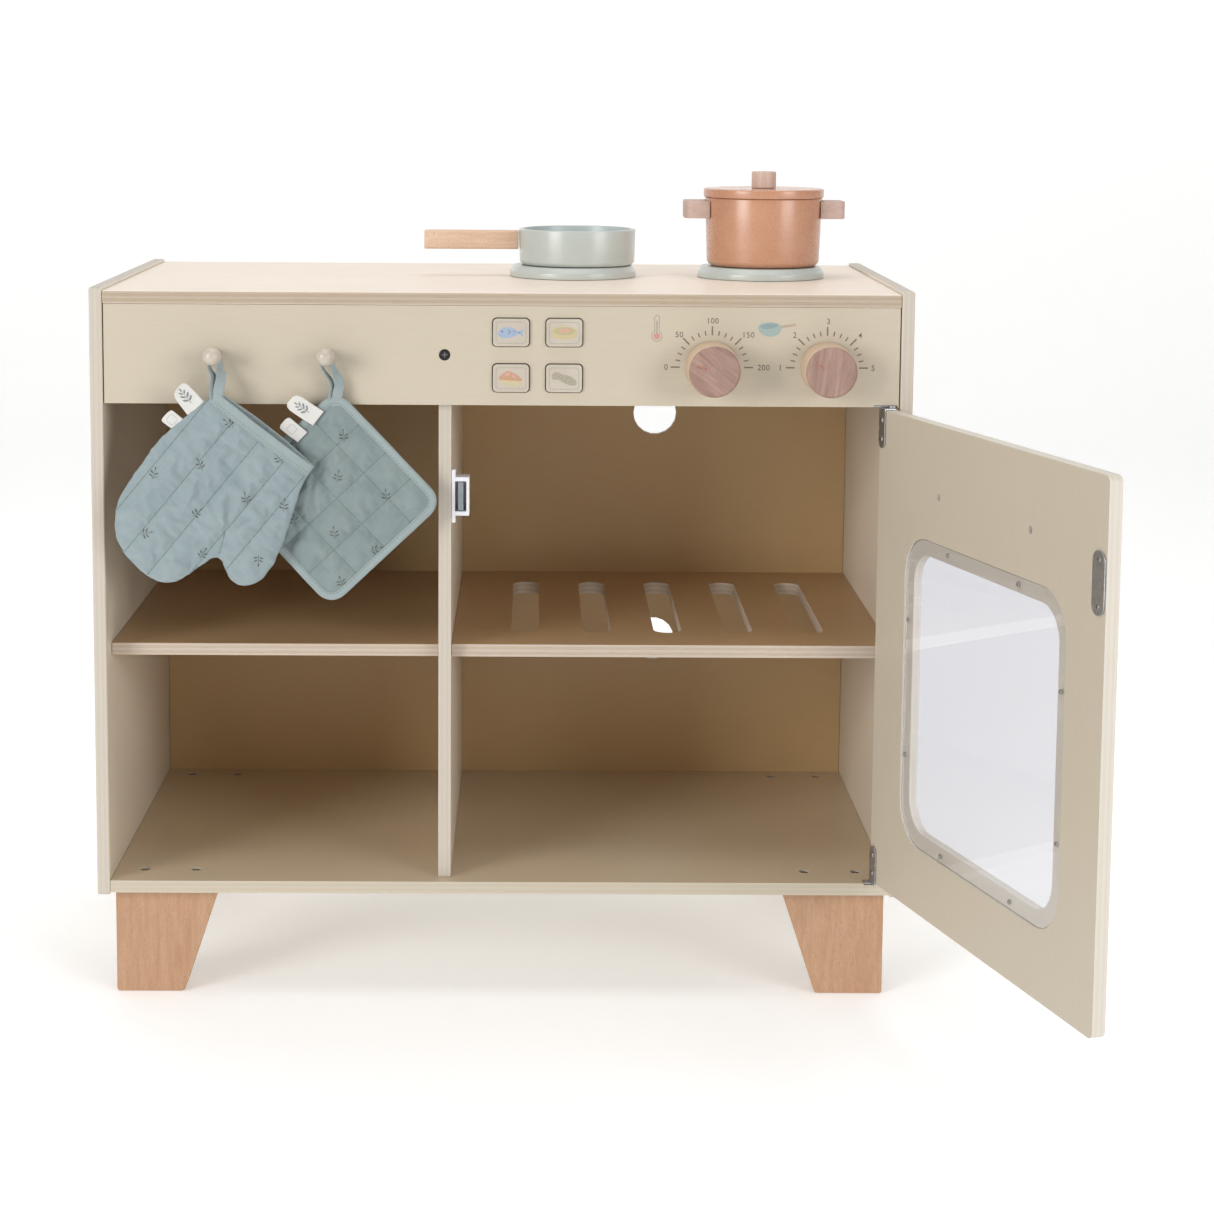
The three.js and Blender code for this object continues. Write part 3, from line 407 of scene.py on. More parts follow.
glass = Mat("clear_acrylic")
_v = glass.node("ShaderNodeVectorMath", {0: glass.tc.outputs["Object"], 3: 1000.0}, operation="SCALE").outputs[0]
_n = glass.noise(_v, 0.05, 2.0)
glass.set(Base_Color=(0.84, 0.852, 0.905, 1), Roughness=glass.math("MULTIPLY", _n, 0.03), Normal=glass.bump(glass.noise(_v, 0.012, 1.0), 0.05, 0.0004))
glass.b.inputs["Transmission Weight"].default_value = 1.0
glass.b.inputs["IOR"].default_value = 1.49
_lp = glass.node("ShaderNodeLightPath")
_tr = glass.node("ShaderNodeBsdfTransparent", {"Color": (0.93, 0.95, 0.97, 1)})
_mx = glass.node("ShaderNodeMixShader", {0: _lp.outputs["Is Shadow Ray"], 1: glass.b.outputs[0], 2: _tr.outputs[0]})
glass.t.links.new(_mx.outputs[0], glass.out.inputs[0])
MATS["door_window"] = glass.m

for n, mt in MATS.items():
    if n in NODES:
        assign(n, mt)


# ------------------------------------------------------------------ mesh helpers
def new_object(name, verts, faces, mat, smooth=True):
    me = bpy.data.meshes.new(name)
    me.from_pydata([tuple(v) for v in verts], [], faces)
    me.validate()
    o = bpy.data.objects.new(name, me)
    SCENE.collection.objects.link(o)
    if mat is not None:
        me.materials.append(mat)
    if smooth:
        me.polygons.foreach_set("use_smooth", [True] * len(me.polygons))
    bm = bmesh.new()
    bm.from_mesh(me)
    bmesh.ops.recalc_face_normals(bm, faces=bm.faces)
    bm.to_mesh(me)
    bm.free()
    return o


def soften(node, width, segments=3, angle=35):
    """Breaks the edges of a carried-over piece, with clean shading."""
    o = NODES[node]
    me = o.data
    if "custom_normal" in me.attributes:
        me.attributes.remove(me.attributes["custom_normal"])
    me.polygons.foreach_set("use_smooth", [True] * len(me.polygons))
    wd = o.modifiers.new("weld", "WELD")
    wd.merge_threshold = 0.00001
    dm = o.modifiers.new("planar", "DECIMATE")
    dm.decimate_type = "DISSOLVE"
    dm.angle_limit = math.radians(1.0)
    bv = o.modifiers.new("broken_edge", "BEVEL")
    bv.width = width
    bv.segments = segments
    bv.limit_method = "ANGLE"
    bv.angle_limit = math.radians(angle)
    bv.use_clamp_overlap = True
    wn = o.modifiers.new("weighted", "WEIGHTED_NORMAL")
    wn.keep_sharp = False
    wn.weight = 60


def rounded(profile, steps=5):
    """profile: (r, h, radius) points; every corner with a radius becomes an arc."""
    out = []
    n = len(profile)
    for i, p in enumerate(profile):
        r = p[2] if len(p) > 2 else 0
        if i == 0 or i == n - 1 or r <= 0:
            out.append((p[0], p[1]))
            continue
        a, b, c = np.array(profile[i - 1][:2], float), np.array(p[:2], float), np.array(profile[i + 1][:2], float)
        u, w = a - b, c - b
        lu, lw = np.linalg.norm(u), np.linalg.norm(w)
        u, w = u / lu, w / lw
        ang = math.acos(max(-1, min(1, float(u @ w))))
        d = min(r / math.tan(ang / 2), 0.49 * lu, 0.49 * lw)
        rr = d * math.tan(ang / 2)
        bis = (u + w) / np.linalg.norm(u + w)
        centre = b + bis * (rr / math.sin(ang / 2))
        s, e = b + u * d, b + w * d
        a0 = math.atan2(*(s - centre)[::-1])
        a1 = math.atan2(*(e - centre)[::-1])
        da = (a1 - a0 + math.pi) % (2 * math.pi) - math.pi
        for k in range(steps + 1):
            t = a0 + da * k / steps
            out.append((centre[0] + rr * math.cos(t), centre[1] + rr * math.sin(t)))
    return out


def lathe(name, profile, centre, axis, mat, segs=96, mats=None, pick=None):
    """Turns (radius, height) points in mm about an axis through centre. pick(r, h) gives a material index."""
    pts = rounded(profile)
    verts, faces = [], []
    for r, h in pts:
        if r < 1e-6:
            verts.append((0, h))
    rows = []
    verts = []
    for r, h in pts:
        if r < 1e-6:
            rows.append([len(verts)])
            verts.append((0.0, 0.0, h))
        else:
            rows.append(list(range(len(verts), len(verts) + segs)))
            for k in range(segs):
                a = 2 * math.pi * k / segs
                verts.append((r * math.cos(a), r * math.sin(a), h))
    idx = []
    for i in range(len(rows) - 1):
        A, B = rows[i], rows[i + 1]
        mi = pick(*[(pts[i][q] + pts[i + 1][q]) / 2 for q in (0, 1)]) if pick else 0
        if len(A) == 1 and len(B) == 1:
            continue
        for k in range(segs):
            j = (k + 1) % segs
            if len(A) == 1:
                faces.append((A[0], B[j], B[k]))
            elif len(B) == 1:
                faces.append((A[k], A[j], B[0]))
            else:
                faces.append((A[k], A[j], B[j], B[k]))
            idx.append(mi)
    out = []
    for x, y, z in verts:
        if axis == "Z":
            out.append(V(centre[0] + x, centre[1] + y, centre[2] + z))
        else:  # Y
            out.append(V(centre[0] + x, centre[1] + z, centre[2] - y))
    o = new_object(name, out, faces, mat)
    if mats:
        for m_ in mats:
            o.data.materials.append(m_)
        o.data.polygons.foreach_set("material_index", idx)
    return o


def finish_piece(o, body, replaces=()):
    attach(o, body)
    if replaces:
        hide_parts(*replaces)
    return o


def prisms(name, polys, y_face, body, mat, raise_mm=0.07, sink=0.03, facing=-1):
    """Flat printed or inlaid shapes: polygons in cabinet X and Z (mm), standing a hair proud of a face at y_face."""
    verts, faces = [], []
    for poly in polys:
        outer = poly
        n = len(outer)
        base = len(verts)
        y0, y1 = y_face - facing * sink, y_face + facing * raise_mm
        for y in (y0, y1):
            for x, z in outer:
                verts.append(V(x, y, z))
        tris = mgeo.tessellate_polygon([[Vector((x, z, 0)) for x, z in outer]])
        for t in tris:
            faces.append(tuple(base + n + i for i in t))
            faces.append(tuple(base + i for i in reversed(t)))
        for i in range(n):
            j = (i + 1) % n
            faces.append((base + i, base + j, base + n + j, base + n + i))
    o = new_object(name, verts, faces, mat, smooth=False)
    return finish_piece(o, body)


def ring_poly(outer, inner):
    """A band between two loops with equal counts, as quads."""
    n = len(outer)
    return [[outer[i], outer[(i + 1) % n], inner[(i + 1) % n], inner[i]] for i in range(n)]


def rrect(cx, cz, w, h, r, n=6):
    pts = []
    for qx, qz, a0 in ((1, -1, -90), (1, 1, 0), (-1, 1, 90), (-1, -1, 180)):
        for k in range(n + 1):
            a = math.radians(a0 + 90 * k / n)
            pts.append((cx + qx * (w / 2 - r) + r * math.cos(a), cz + qz * (h / 2 - r) + r * math.sin(a)))
    return pts


def ellipse(cx, cz, a, b, rot=0.0, n=28):
    c, s = math.cos(rot), math.sin(rot)
    return [(cx + a * math.cos(t) * c - b * math.sin(t) * s, cz + a * math.cos(t) * s + b * math.sin(t) * c) for t in (2 * math.pi * k / n for k in range(n))]


def bar(x0, z0, x1, z1, w):
    d = np.array([x1 - x0, z1 - z0], float)
    d /= np.linalg.norm(d)
    nx, nz = -d[1] * w / 2, d[0] * w / 2
    return [(x0 + nx, z0 + nz), (x0 - nx, z0 - nz), (x1 - nx, z1 - nz), (x1 + nx, z1 + nz)]


def smooth_loop(points, per=6, closed=True):
    """Catmull-Rom through 2D points."""
    P = [np.array(p, float) for p in points]
    n = len(P)
    out = []
    for i in range(n if closed else n - 1):
        p0, p1, p2, p3 = (P[(i - 1) % n] if closed or i > 0 else P[0]), P[i], P[(i + 1) % n], (P[(i + 2) % n] if closed or i + 2 < n else P[-1])
        for k in range(per):
            t = k / per
            out.append(tuple(0.5 * ((2 * p1) + (-p0 + p2) * t + (2 * p0 - 5 * p1 + 4 * p2 - p3) * t * t + (-p0 + 3 * p1 - 3 * p2 + p3) * t ** 3)))
    if not closed:
        out.append(tuple(P[-1]))
    return out


# ------------------------------------------------------------------ carried-over pieces with broken edges
for n in ("left_side_panel", "right_side_panel"):
    soften(n, 0.0011, 4)
for n in ("floor_panel", "back_panel"):
    soften(n, 0.0005, 2)
soften("worktop", 0.0008, 3)
soften("fascia_panel", 0.0008, 3, 50)
soften("divider_panel", 0.0008, 3)
soften("left_shelf", 0.0007, 3)
soften("oven_rack", 0.0016, 4, 50)
soften("door_panel", 0.0010, 3, 50)
for n in ("left_front_leg", "right_front_leg", "left_rear_leg", "right_rear_leg"):
    soften(n, 0.0011, 3)
soften("door_handle", 0.0022, 4, 30)
soften("pan_handle", 0.0009, 3, 50)
soften("pot_left_handle", 0.0016, 3, 40)
soften("pot_right_handle", 0.0016, 3, 40)
for n in ("upper_hinge_leaf", "lower_hinge_leaf", "upper_hinge_plate", "lower_hinge_plate", "striker_plate"):
    soften(n, 0.00022, 2, 50)
soften("catch_housing", 0.0005, 2)
soften("catch_magnet", 0.0003, 2)
soften("button_tray", 0.0004, 2)
for w in ("top_left", "top_right", "bottom_left", "bottom_right"):
    soften("push_button_" + w, 0.0011, 4, 50)
soften("door_window", 0.0003, 2, 50)
for n, o in NODES.items():
    if "bolt" in n or "screw" in n or "spindle" in n or "spring" in n:
        soften(n, 0.0003, 2, 50)

# ------------------------------------------------------------------ turned pieces at full fineness
def middle(node):
    x0, x1, y0, y1, z0, z1 = mm(node)
    return (x0 + x1) / 2, (y0 + y1) / 2, z0, z1, (x1 - x0) / 2


for side in ("left", "right"):
    cx, cy, z0, z1, r = middle(side + "_hob_plate")
    o = lathe(side + "_hob_disc", [(0, 0), (r, 0, 0.6), (r, (z1 - z0) - 4.6, 3.0), (r - 3.2, z1 - z0, 2.6), (0, z1 - z0)], (cx, cy, z0), "Z", SAGE, 128)
    finish_piece(o, "cabinet", (side + "_hob_plate",))

cx, cy, z0, z1, r = middle("pan_body")
H, wl = z1 - z0, 3.2
o = lathe("pan_shell", [(0, 0), (r - 2.6, 0, 1.2), (r - 0.7, 2.4, 3.2), (r, H, 0.9), (r - wl, H, 0.9), (r - wl - 0.5, wl + 1.2, 4.0), (0, wl)], (cx, cy, z0), "Z", SAGE, 144,
          mats=[SAGE_IN], pick=lambda rr, h: 1 if (h > wl - 0.1 and rr < r - wl + 0.05) else 0)
finish_piece(o, "pan", ("pan_body",))

px_, py_, z0, z1, r = middle("pot_body")
H = z1 - z0
o = lathe("pot_shell", [(0, 0), (r - 4.8, 0, 1.5), (r - 1.9, 2.6, 6.0), (r, H, 0.9), (r - wl, H, 0.9), (r - wl - 1.9, wl + 1.5, 5.0), (0, wl)], (px_, py_, z0), "Z", TERRA, 144)
finish_piece(o, "pot", ("pot_body",))
lx, ly, z0, z1, r = middle("pot_lid")
plug = 43.6
h0 = 4.0
H = z1 - z0
o = lathe("pot_lid_disc", [(0, 0), (plug, 0, 0.8), (plug, h0, 0.3), (r - 0.2, h0, 0.7), (r, H, 1.1), (0, H)], (lx, ly, z0), "Z", TERRA, 144)
finish_piece(o, "lid", ("pot_lid",))
kx, ky, z0, z1, r = middle("lid_knob")
o = lathe("lid_grip", [(0, 0), (r - 0.5, 0, 0.4), (r, 1.2, 0.5), (r, z1 - z0, 0.9), (0, z1 - z0)], (kx, ky, z0), "Z", MATS["lid_knob"], 96)
finish_piece(o, "lid", ("lid_knob",))

for side in ("left", "right"):
    x0, x1, y0, y1, z0, z1 = mm(side + "_hook_peg")
    cx, cz, r = (x0 + x1) / 2, (z0 + z1) / 2, 7.0
    prof = [(0, 0)]
    a_end = math.pi - math.asin(3.2 / r)
    for k in range(1, 25):
        a = a_end * k / 24
        flat = 0.94 if a < 0.9 else 1.0
        prof.append((r * math.sin(a), r - r * math.cos(a)))
    prof += [(3.2, 14.6), (3.2, 26.0), (3.9, 27.0, 0.5), (3.9, 28.2, 0.3), (3.0, 28.3), (3.0, y1 - y0), (0, y1 - y0)]
    o = lathe(side + "_peg_turned", prof, (cx, y0, cz), "Y", PEG_M, 64)
    finish_piece(o, "cabinet", (side + "_hook_peg",))

# knobs: pale side, pinkish face grain at a different slant on each; their pointer marks come with the prints below
KNOB_TILT = {"temperature": -38.0, "hob": 82.0}
for kn, body in (("temperature", "temperature_dial"), ("hob", "hob_dial")):
    x0, x1, y0, y1, z0, z1 = mm(kn + "_knob")
    cx, cz, r = (x0 + x1) / 2, (z0 + z1) / 2, (x1 - x0) / 2
    a = math.radians(KNOB_TILT[kn])
    ga, ac = Vector((math.cos(a), 0, math.sin(a))), Vector((-math.sin(a), 0, math.cos(a)))
    facem = beech_material("knob_face_" + kn, srgb("#ad9083"), srgb("#886a60"), ga, ac, YA, 41.0 + len(kn), fleck=0.35, figure=0.95)
    sidem = beech_material("knob_side_" + kn, srgb("#cdb59c"), srgb("#bda288"), ga, ac, YA, 47.0 + len(kn), fleck=0.5)
    L = y1 - y0
    o = lathe(kn + "_knob_turned", [(0, 0), (r - 1.9, 0, 0.9), (r - 0.55, 1.5, 1.3), (r, L, 0.5), (6, L), (6, L - 1.5), (4.35, L - 1.5), (4.35, 9.7), (0, 9.7)], (cx, y0, cz), "Y", sidem, 128,
              mats=[facem], pick=lambda rr, h: 1 if (h < 0.75 and rr < r - 1.2) else 0)
    finish_piece(o, body, (kn + "_knob",))

# ------------------------------------------------------------------ prints on the fascia
INK = ink_material("print_grey", srgb("#5f5246"))
INK_RED = ink_material("print_red", srgb("#b87a6e"))
INK_LINE = ink_material("print_line", srgb("#8f877b"))
FY = mm("fascia_panel")[2]
KZ = (mm("temperature_knob")[4] + mm("temperature_knob")[5]) / 2


def text_polys_object(name, text, size, cx, cz, y_face, body, mat, spacing=1.08):
    cu = bpy.data.curves.new(name, "FONT")
    cu.body = text
    cu.size = 1.0
    cu.align_x = "CENTER"
    cu.align_y = "CENTER"
    cu.space_character = spacing
    cu.extrude = 0.0
    cu.offset = 0.004
    cu.resolution_u = 4
    ob = bpy.data.objects.new(name + "_tmp", cu)
    SCENE.collection.objects.link(ob)
    bpy.context.view_layer.update()
    dg = bpy.context.evaluated_depsgraph_get()
    me = bpy.data.meshes.new_from_object(ob.evaluated_get(dg))
    bpy.data.objects.remove(ob)
    co = np.array([v.co[:2] for v in me.vertices])
    mid = (co.min(0) + co.max(0)) / 2
    k = size / 0.70
    me.name = name
    bm = bmesh.new()
    bm.from_mesh(me)
    for v in bm.verts:
        x, z = (v.co.x - mid[0]) * k, (v.co.y - mid[1]) * k
        v.co = V(cx + x, y_face - 0.07, cz + z)
    bmesh.ops.remove_doubles(bm, verts=bm.verts, dist=1e-7)
    geom = bmesh.ops.extrude_face_region(bm, geom=bm.faces[:])
    for v in [g for g in geom["geom"] if isinstance(g, bmesh.types.BMVert)]:
        v.co.y += 0.0001
    bmesh.ops.recalc_face_normals(bm, faces=bm.faces)
    bm.to_mesh(me)
    bm.free()
    o = bpy.data.objects.new(name, me)
    SCENE.collection.objects.link(o)
    me.materials.clear()
    me.materials.append(mat)
    return finish_piece(o, body)


for kn, labels in (("temperature", ["0", "50", "100", "150", "200"]), ("hob", ["1", "2", "3", "4", "5"])):
    kx0, kx1 = mm(kn + "_knob")[:2]
    cx = (kx0 + kx1) / 2
    polys = []
    for i in range(17):
        a = math.pi - math.radians(11.25 * i)
        major = i % 4 == 0
        r0, r1 = (24.3, 31.0) if major else (24.4, 28.0)
        polys.append(bar(cx + r0 * math.cos(a), KZ + r0 * math.sin(a), cx + r1 * math.cos(a), KZ + r1 * math.sin(a), 1.15 if major else 0.95))
    prisms(kn + "_dial_ticks", polys, FY, "cabinet", INK)
    places = [(-34.6 if kn == "temperature" else -35.2, 0), (-24.8, 24.7), (0.6, 35.2), (27.6 if kn == "temperature" else 24.6, 24.7), (39.0 if kn == "temperature" else 34.8, 0)]
    if kn == "hob":
        places[1] = (-24.6, 24.7)
    for k, (dx, dz) in enumerate(places):
        text_polys_object(f"{kn}_dial_number_{k + 1}", labels[k], 4.2, cx + dx, KZ + dz, FY, "cabinet", INK)

# thermometer picture
tx, tz = 116.2, 517.6
bulb = [(tx + 4.2 * math.cos(a), tz - 0.0 + 4.2 * math.sin(a)) for a in np.linspace(math.radians(118), math.radians(422), 22)]
outline = bulb + [(tx + 2.2, tz + 13.8)] + [(tx + 2.2 * math.cos(a), tz + 13.8 + 2.2 * math.sin(a)) for a in np.linspace(0.2, math.pi - 0.2, 8)] + [(tx - 2.2, tz + 13.8)]
cen = np.array([tx, tz + 5])


def inset(loop, d):
    n = len(loop)
    out = []
    for i in range(n):
        a, b, c = np.array(loop[i - 1]), np.array(loop[i]), np.array(loop[(i + 1) % n])
        e1, e2 = b - a, c - b
        n1 = np.array([-e1[1], e1[0]]) / (np.linalg.norm(e1) + 1e-9)
        n2 = np.array([-e2[1], e2[0]]) / (np.linalg.norm(e2) + 1e-9)
        nn = n1 + n2
        nn /= np.linalg.norm(nn) + 1e-9
        out.append(tuple(b + nn * d / max(0.4, float(nn @ n1))))
    return out


prisms("thermometer_outline", ring_poly(outline, inset(outline, 0.62)), FY, "cabinet", INK_LINE)
prisms("thermometer_bulb", [ellipse(tx, tz, 2.5, 2.5)], FY, "cabinet", INK_RED)
prisms("thermometer_column", [bar(tx, tz + 2.0, tx, tz + 11.8, 0.95)], FY, "cabinet", INK_LINE, raise_mm=0.08)
# small saucepan picture
TEAL = ink_material("print_teal", srgb("#879c9b"))
TEAL_D = ink_material("print_teal_dark", srgb("#6f8b8c"))
SAND = ink_material("print_sand", srgb("#a5917a"))
sx, sz = 201.0, 523.4
prisms("saucepan_print_body", [smooth_loop([(sx - 8.4, sz + 2.2), (sx - 5.5, sz + 4.4), (sx + 1, sz + 5.2), (sx + 7, sz + 3.6), (sx + 8.6, sz + 0.6), (sx + 7.2, sz - 3.2), (sx + 2.2, sz - 5.6), (sx - 3.4, sz - 5.0), (sx - 7.6, sz - 2.0)], 4)], FY, "cabinet", TEAL)
prisms("saucepan_print_inside", [ellipse(sx - 0.4, sz + 2.3, 6.6, 2.0, 0.10)], FY, "cabinet", TEAL_D, raise_mm=0.1)
prisms("saucepan_print_handle", [bar(sx + 8.0, sz + 1.6, sx + 19.6, sz + 3.4, 2.0)], FY, "cabinet", SAND, raise_mm=0.06)

# ------------------------------------------------------------------ pictures on the push buttons
ORANGE, BROWN, CRUST = ink_material("print_orange", srgb("#b08263")), ink_material("print_brown", srgb("#a79a6e")), ink_material("print_crust", srgb("#b5a67c"))
PINK, BLUE, BLUE_D = ink_material("print_pink", srgb("#c08d80")), ink_material("print_blue", srgb("#879cb8")), ink_material("print_blue_dark", srgb("#3d4c62"))
GREEN, YELL, MOSS, MOSS_D = ink_material("print_green", srgb("#b3ab88")), ink_material("print_yellow", srgb("#bfa878")), ink_material("print_moss", srgb("#928d78")), ink_material("print_moss_dark", srgb("#736e5b"))
BTN = {}
for w in ("top_left", "top_right", "bottom_left", "bottom_right"):
    x0, x1, y0, y1, z0, z1 = mm("push_button_" + w)
    fx0, fx1 = x0 + 2.2, x1 - 2.2      # the flange behind is 1.5 mm wider each side than the opening
    BTN[w] = ((x0 + x1) / 2, (z0 + z1) / 2, y0)
    cx, cz, yf = BTN[w]
    body = "button_" + w
    prisms("button_frame_line_" + w, ring_poly(rrect(cx, cz, 22.6, 16.4, 2.4), rrect(cx, cz, 21.9, 15.7, 2.1)), yf, body, INK_LINE)

cx, cz, yf = BTN["top_left"]
prisms("fish_print_body", [smooth_loop([(cx - 10.0, cz - 0.6), (cx - 7.6, cz + 2.6), (cx - 3.4, cz + 4.1), (cx + 1.4, cz + 3.2), (cx + 5.2, cz + 1.0), (cx + 6.4, cz + 0.2), (cx + 5.0, cz - 1.4), (cx + 1.0, cz - 3.4), (cx - 4.2, cz - 4.2), (cx - 8.4, cz - 3.0)], 4)], yf, "button_top_left", BLUE)
prisms("fish_print_tail", [[(cx + 5.6, cz + 0.6), (cx + 10.0, cz + 3.4), (cx + 8.6, cz + 0.0), (cx + 9.8, cz - 3.2), (cx + 5.6, cz - 0.8)]], yf, "button_top_left", BLUE)
prisms("fish_print_details", [ellipse(cx - 6.8, cz + 0.9, 0.7, 0.7), bar(cx - 2.4, cz + 1.9, cx - 0.4, cz + 0.4, 0.4), bar(cx - 0.4, cz + 0.4, cx - 2.4, cz - 1.2, 0.4), bar(cx + 1.4, cz + 1.6, cx + 3.2, cz + 0.2, 0.4)], yf, "button_top_left", BLUE_D, raise_mm=0.1)
cx, cz, yf = BTN["top_right"]
prisms("ring_bun_print_base", [smooth_loop([(cx - 9.6, cz + 0.4), (cx - 8.2, cz + 3.2), (cx - 3.4, cz + 4.6), (cx + 3.0, cz + 4.8), (cx + 8.2, cz + 3.2), (cx + 9.6, cz + 0.0), (cx + 8.2, cz - 3.4), (cx + 2.6, cz - 5.0), (cx - 3.2, cz - 4.8), (cx - 8.4, cz - 3.2)], 4)], yf, "button_top_right", CRUST)
prisms("ring_bun_print_top", [ellipse(cx, cz + 1.2, 8.2, 3.0)], yf, "button_top_right", BROWN, raise_mm=0.09)
prisms("ring_bun_print_icing", [smooth_loop([(cx - 4.0, cz + 1.4), (cx - 2.0, cz + 3.0), (cx + 2.2, cz + 3.0), (cx + 4.2, cz + 1.6), (cx + 2.4, cz + 0.2), (cx + 0.6, cz + 0.6), (cx - 1.6, cz + 0.0)], 4)], yf, "button_top_right", PINK, raise_mm=0.11)
cx, cz, yf = BTN["bottom_left"]
prisms("layer_slice_print_top", [smooth_loop([(cx - 9.0, cz + 0.8), (cx - 4.4, cz + 4.6), (cx - 1.0, cz + 5.2), (cx + 4.4, cz + 2.6), (cx + 8.6, cz - 1.0), (cx + 6.0, cz - 2.4), (cx - 1.0, cz - 1.6), (cx - 7.6, cz - 1.4)], 4)], yf, "button_bottom_left", ORANGE)
prisms("layer_slice_print_cream", [[(cx - 7.6, cz - 1.2), (cx + 7.4, cz - 2.2), (cx + 7.6, cz - 3.4), (cx - 7.0, cz - 2.6)]], yf, "button_bottom_left", YELL, raise_mm=0.09)
prisms("layer_slice_print_base", [[(cx - 7.2, cz - 2.6), (cx + 7.8, cz - 3.4), (cx + 7.4, cz - 6.2), (cx - 6.4, cz - 5.0)]], yf, "button_bottom_left", GREEN)
prisms("layer_slice_print_leaf", [ellipse(cx - 2.6, cz + 3.0, 2.2, 1.2, 0.5), ellipse(cx + 2.2, cz + 1.2, 1.8, 0.8, -0.6)], yf, "button_bottom_left", PINK, raise_mm=0.1)
cx, cz, yf = BTN["bottom_right"]
prisms("gherkin_print_body", [smooth_loop([(cx - 9.4, cz + 1.6), (cx - 7.6, cz + 4.4), (cx - 4.6, cz + 4.6), (cx - 1.6, cz + 3.2), (cx + 2.4, cz + 2.6), (cx + 6.2, cz + 0.9), (cx + 9.4, cz - 2.2), (cx + 8.6, cz - 5.0), (cx + 4.8, cz - 5.2), (cx + 0.2, cz - 3.4), (cx - 4.2, cz - 1.0), (cx - 8.0, cz - 0.8)], 4)], yf, "button_bottom_right", MOSS)
prisms("gherkin_print_dots", [ellipse(cx + a, cz + b, 0.45, 0.3, -0.4) for a, b in ((-6.6, 2.6), (-4.0, 1.6), (-1.2, 0.8), (1.6, -0.4), (4.4, -1.8), (6.6, -3.4), (-2.6, 2.6), (3.4, 0.8), (1.0, -2.0), (7.2, -1.8))], yf, "button_bottom_right", MOSS_D, raise_mm=0.1)

# pointer marks on the knobs
POINT = ink_material("pointer_mark", srgb("#8c4f42"))
for kn, body, lift in (("temperature", "temperature_dial", 18.0), ("hob", "hob_dial", 28.6)):
    x0, x1, y0, y1, z0, z1 = mm(kn + "_knob")
    cx, cz = (x0 + x1) / 2, (z0 + z1) / 2
    a = math.radians(180 - lift)
    prisms(kn + "_pointer", [bar(cx + 6.2 * math.cos(a), cz + 6.2 * math.sin(a), cx + 14.2 * math.cos(a), cz + 14.2 * math.sin(a), 2.2)], y0, body, POINT, raise_mm=0.05)

# ------------------------------------------------------------------ cross-head screws: window, hinge leaves, striker
def screw_mesh(r=1.9, h=1.1):
    """A low domed head with a cross cut into it, built about +Z."""
    n = 32
    prof = [(0.0, h), (r * 0.35, h * 0.97), (r * 0.66, h * 0.82), (r * 0.88, h * 0.52), (r, h * 0.12), (r, 0.0), (0.0, 0.0)]
    verts, faces, rows = [], [], []
    for rr, z in prof:
        if rr == 0:
            rows.append([len(verts)])
            verts.append((0, 0, z))
        else:
            rows.append(list(range(len(verts), len(verts) + n)))
            verts += [(rr * math.cos(2 * math.pi * k / n), rr * math.sin(2 * math.pi * k / n), z) for k in range(n)]
    for A, B in zip(rows, rows[1:]):
        for k in range(n):
            j = (k + 1) % n
            if len(A) == 1:
                faces.append((A[0], B[k], B[j]))
            elif len(B) == 1:
                faces.append((A[k], B[0], A[j]))
            else:
                faces.append((A[k], B[k], B[j], A[j]))
    me = bpy.data.meshes.new("screw_head")
    me.from_pydata(verts, [], faces)
    body = bpy.data.objects.new("screw_tmp", me)
    SCENE.collection.objects.link(body)
    cut = bmesh.new()
    for ang in (0, math.pi / 2):
        m4 = Matrix.Rotation(ang, 4, "Z") @ Matrix.Translation((0, 0, h)) @ Matrix.Diagonal((r * 1.25, r * 0.26, h * 1.3, 1))
        bmesh.ops.create_cube(cut, size=1.0, matrix=m4)
    cm = bpy.data.meshes.new("cut_tmp")
    cut.to_mesh(cm)
    cut.free()
    co = bpy.data.objects.new("cut_tmp", cm)
    SCENE.collection.objects.link(co)
    md = body.modifiers.new("cut", "BOOLEAN")
    md.operation = "DIFFERENCE"
    md.object = co
    md.solver = "EXACT"
    md.use_self = True
    bpy.context.view_layer.update()
    res = bpy.data.meshes.new_from_object(body.evaluated_get(bpy.context.evaluated_depsgraph_get()))
    bpy.data.objects.remove(body)
    bpy.data.objects.remove(co)
    return res


SCREW_S, SCREW_L = screw_mesh(1.9, 1.0), screw_mesh(2.3, 1.1)
SCREW_M = metal_material("screw_zinc", (0.40, 0.38, 0.36, 1), 0.35)
for me in (SCREW_S, SCREW_L):
    me.materials.clear()
    me.materials.append(SCREW_M)


def place_screw(name, mesh, where, normal, spin, body, mat=None, low=1.0):
    o = bpy.data.objects.new(name, mesh.copy())
    o.data.name = name
    if mat:
        o.data.materials.clear()
        o.data.materials.append(mat)
    SCENE.collection.objects.link(o)
    q = Vector((0, 0, 1)).rotation_difference(Vector(normal)) @ Quaternion((0, 0, 1), spin)
    o.matrix_world = Matrix.Translation(where) @ q.to_matrix().to_4x4() @ Matrix.Diagonal((0.001, 0.001, 0.001 * low, 1))
    bpy.context.view_layer.update()
    return finish_piece(o, body)


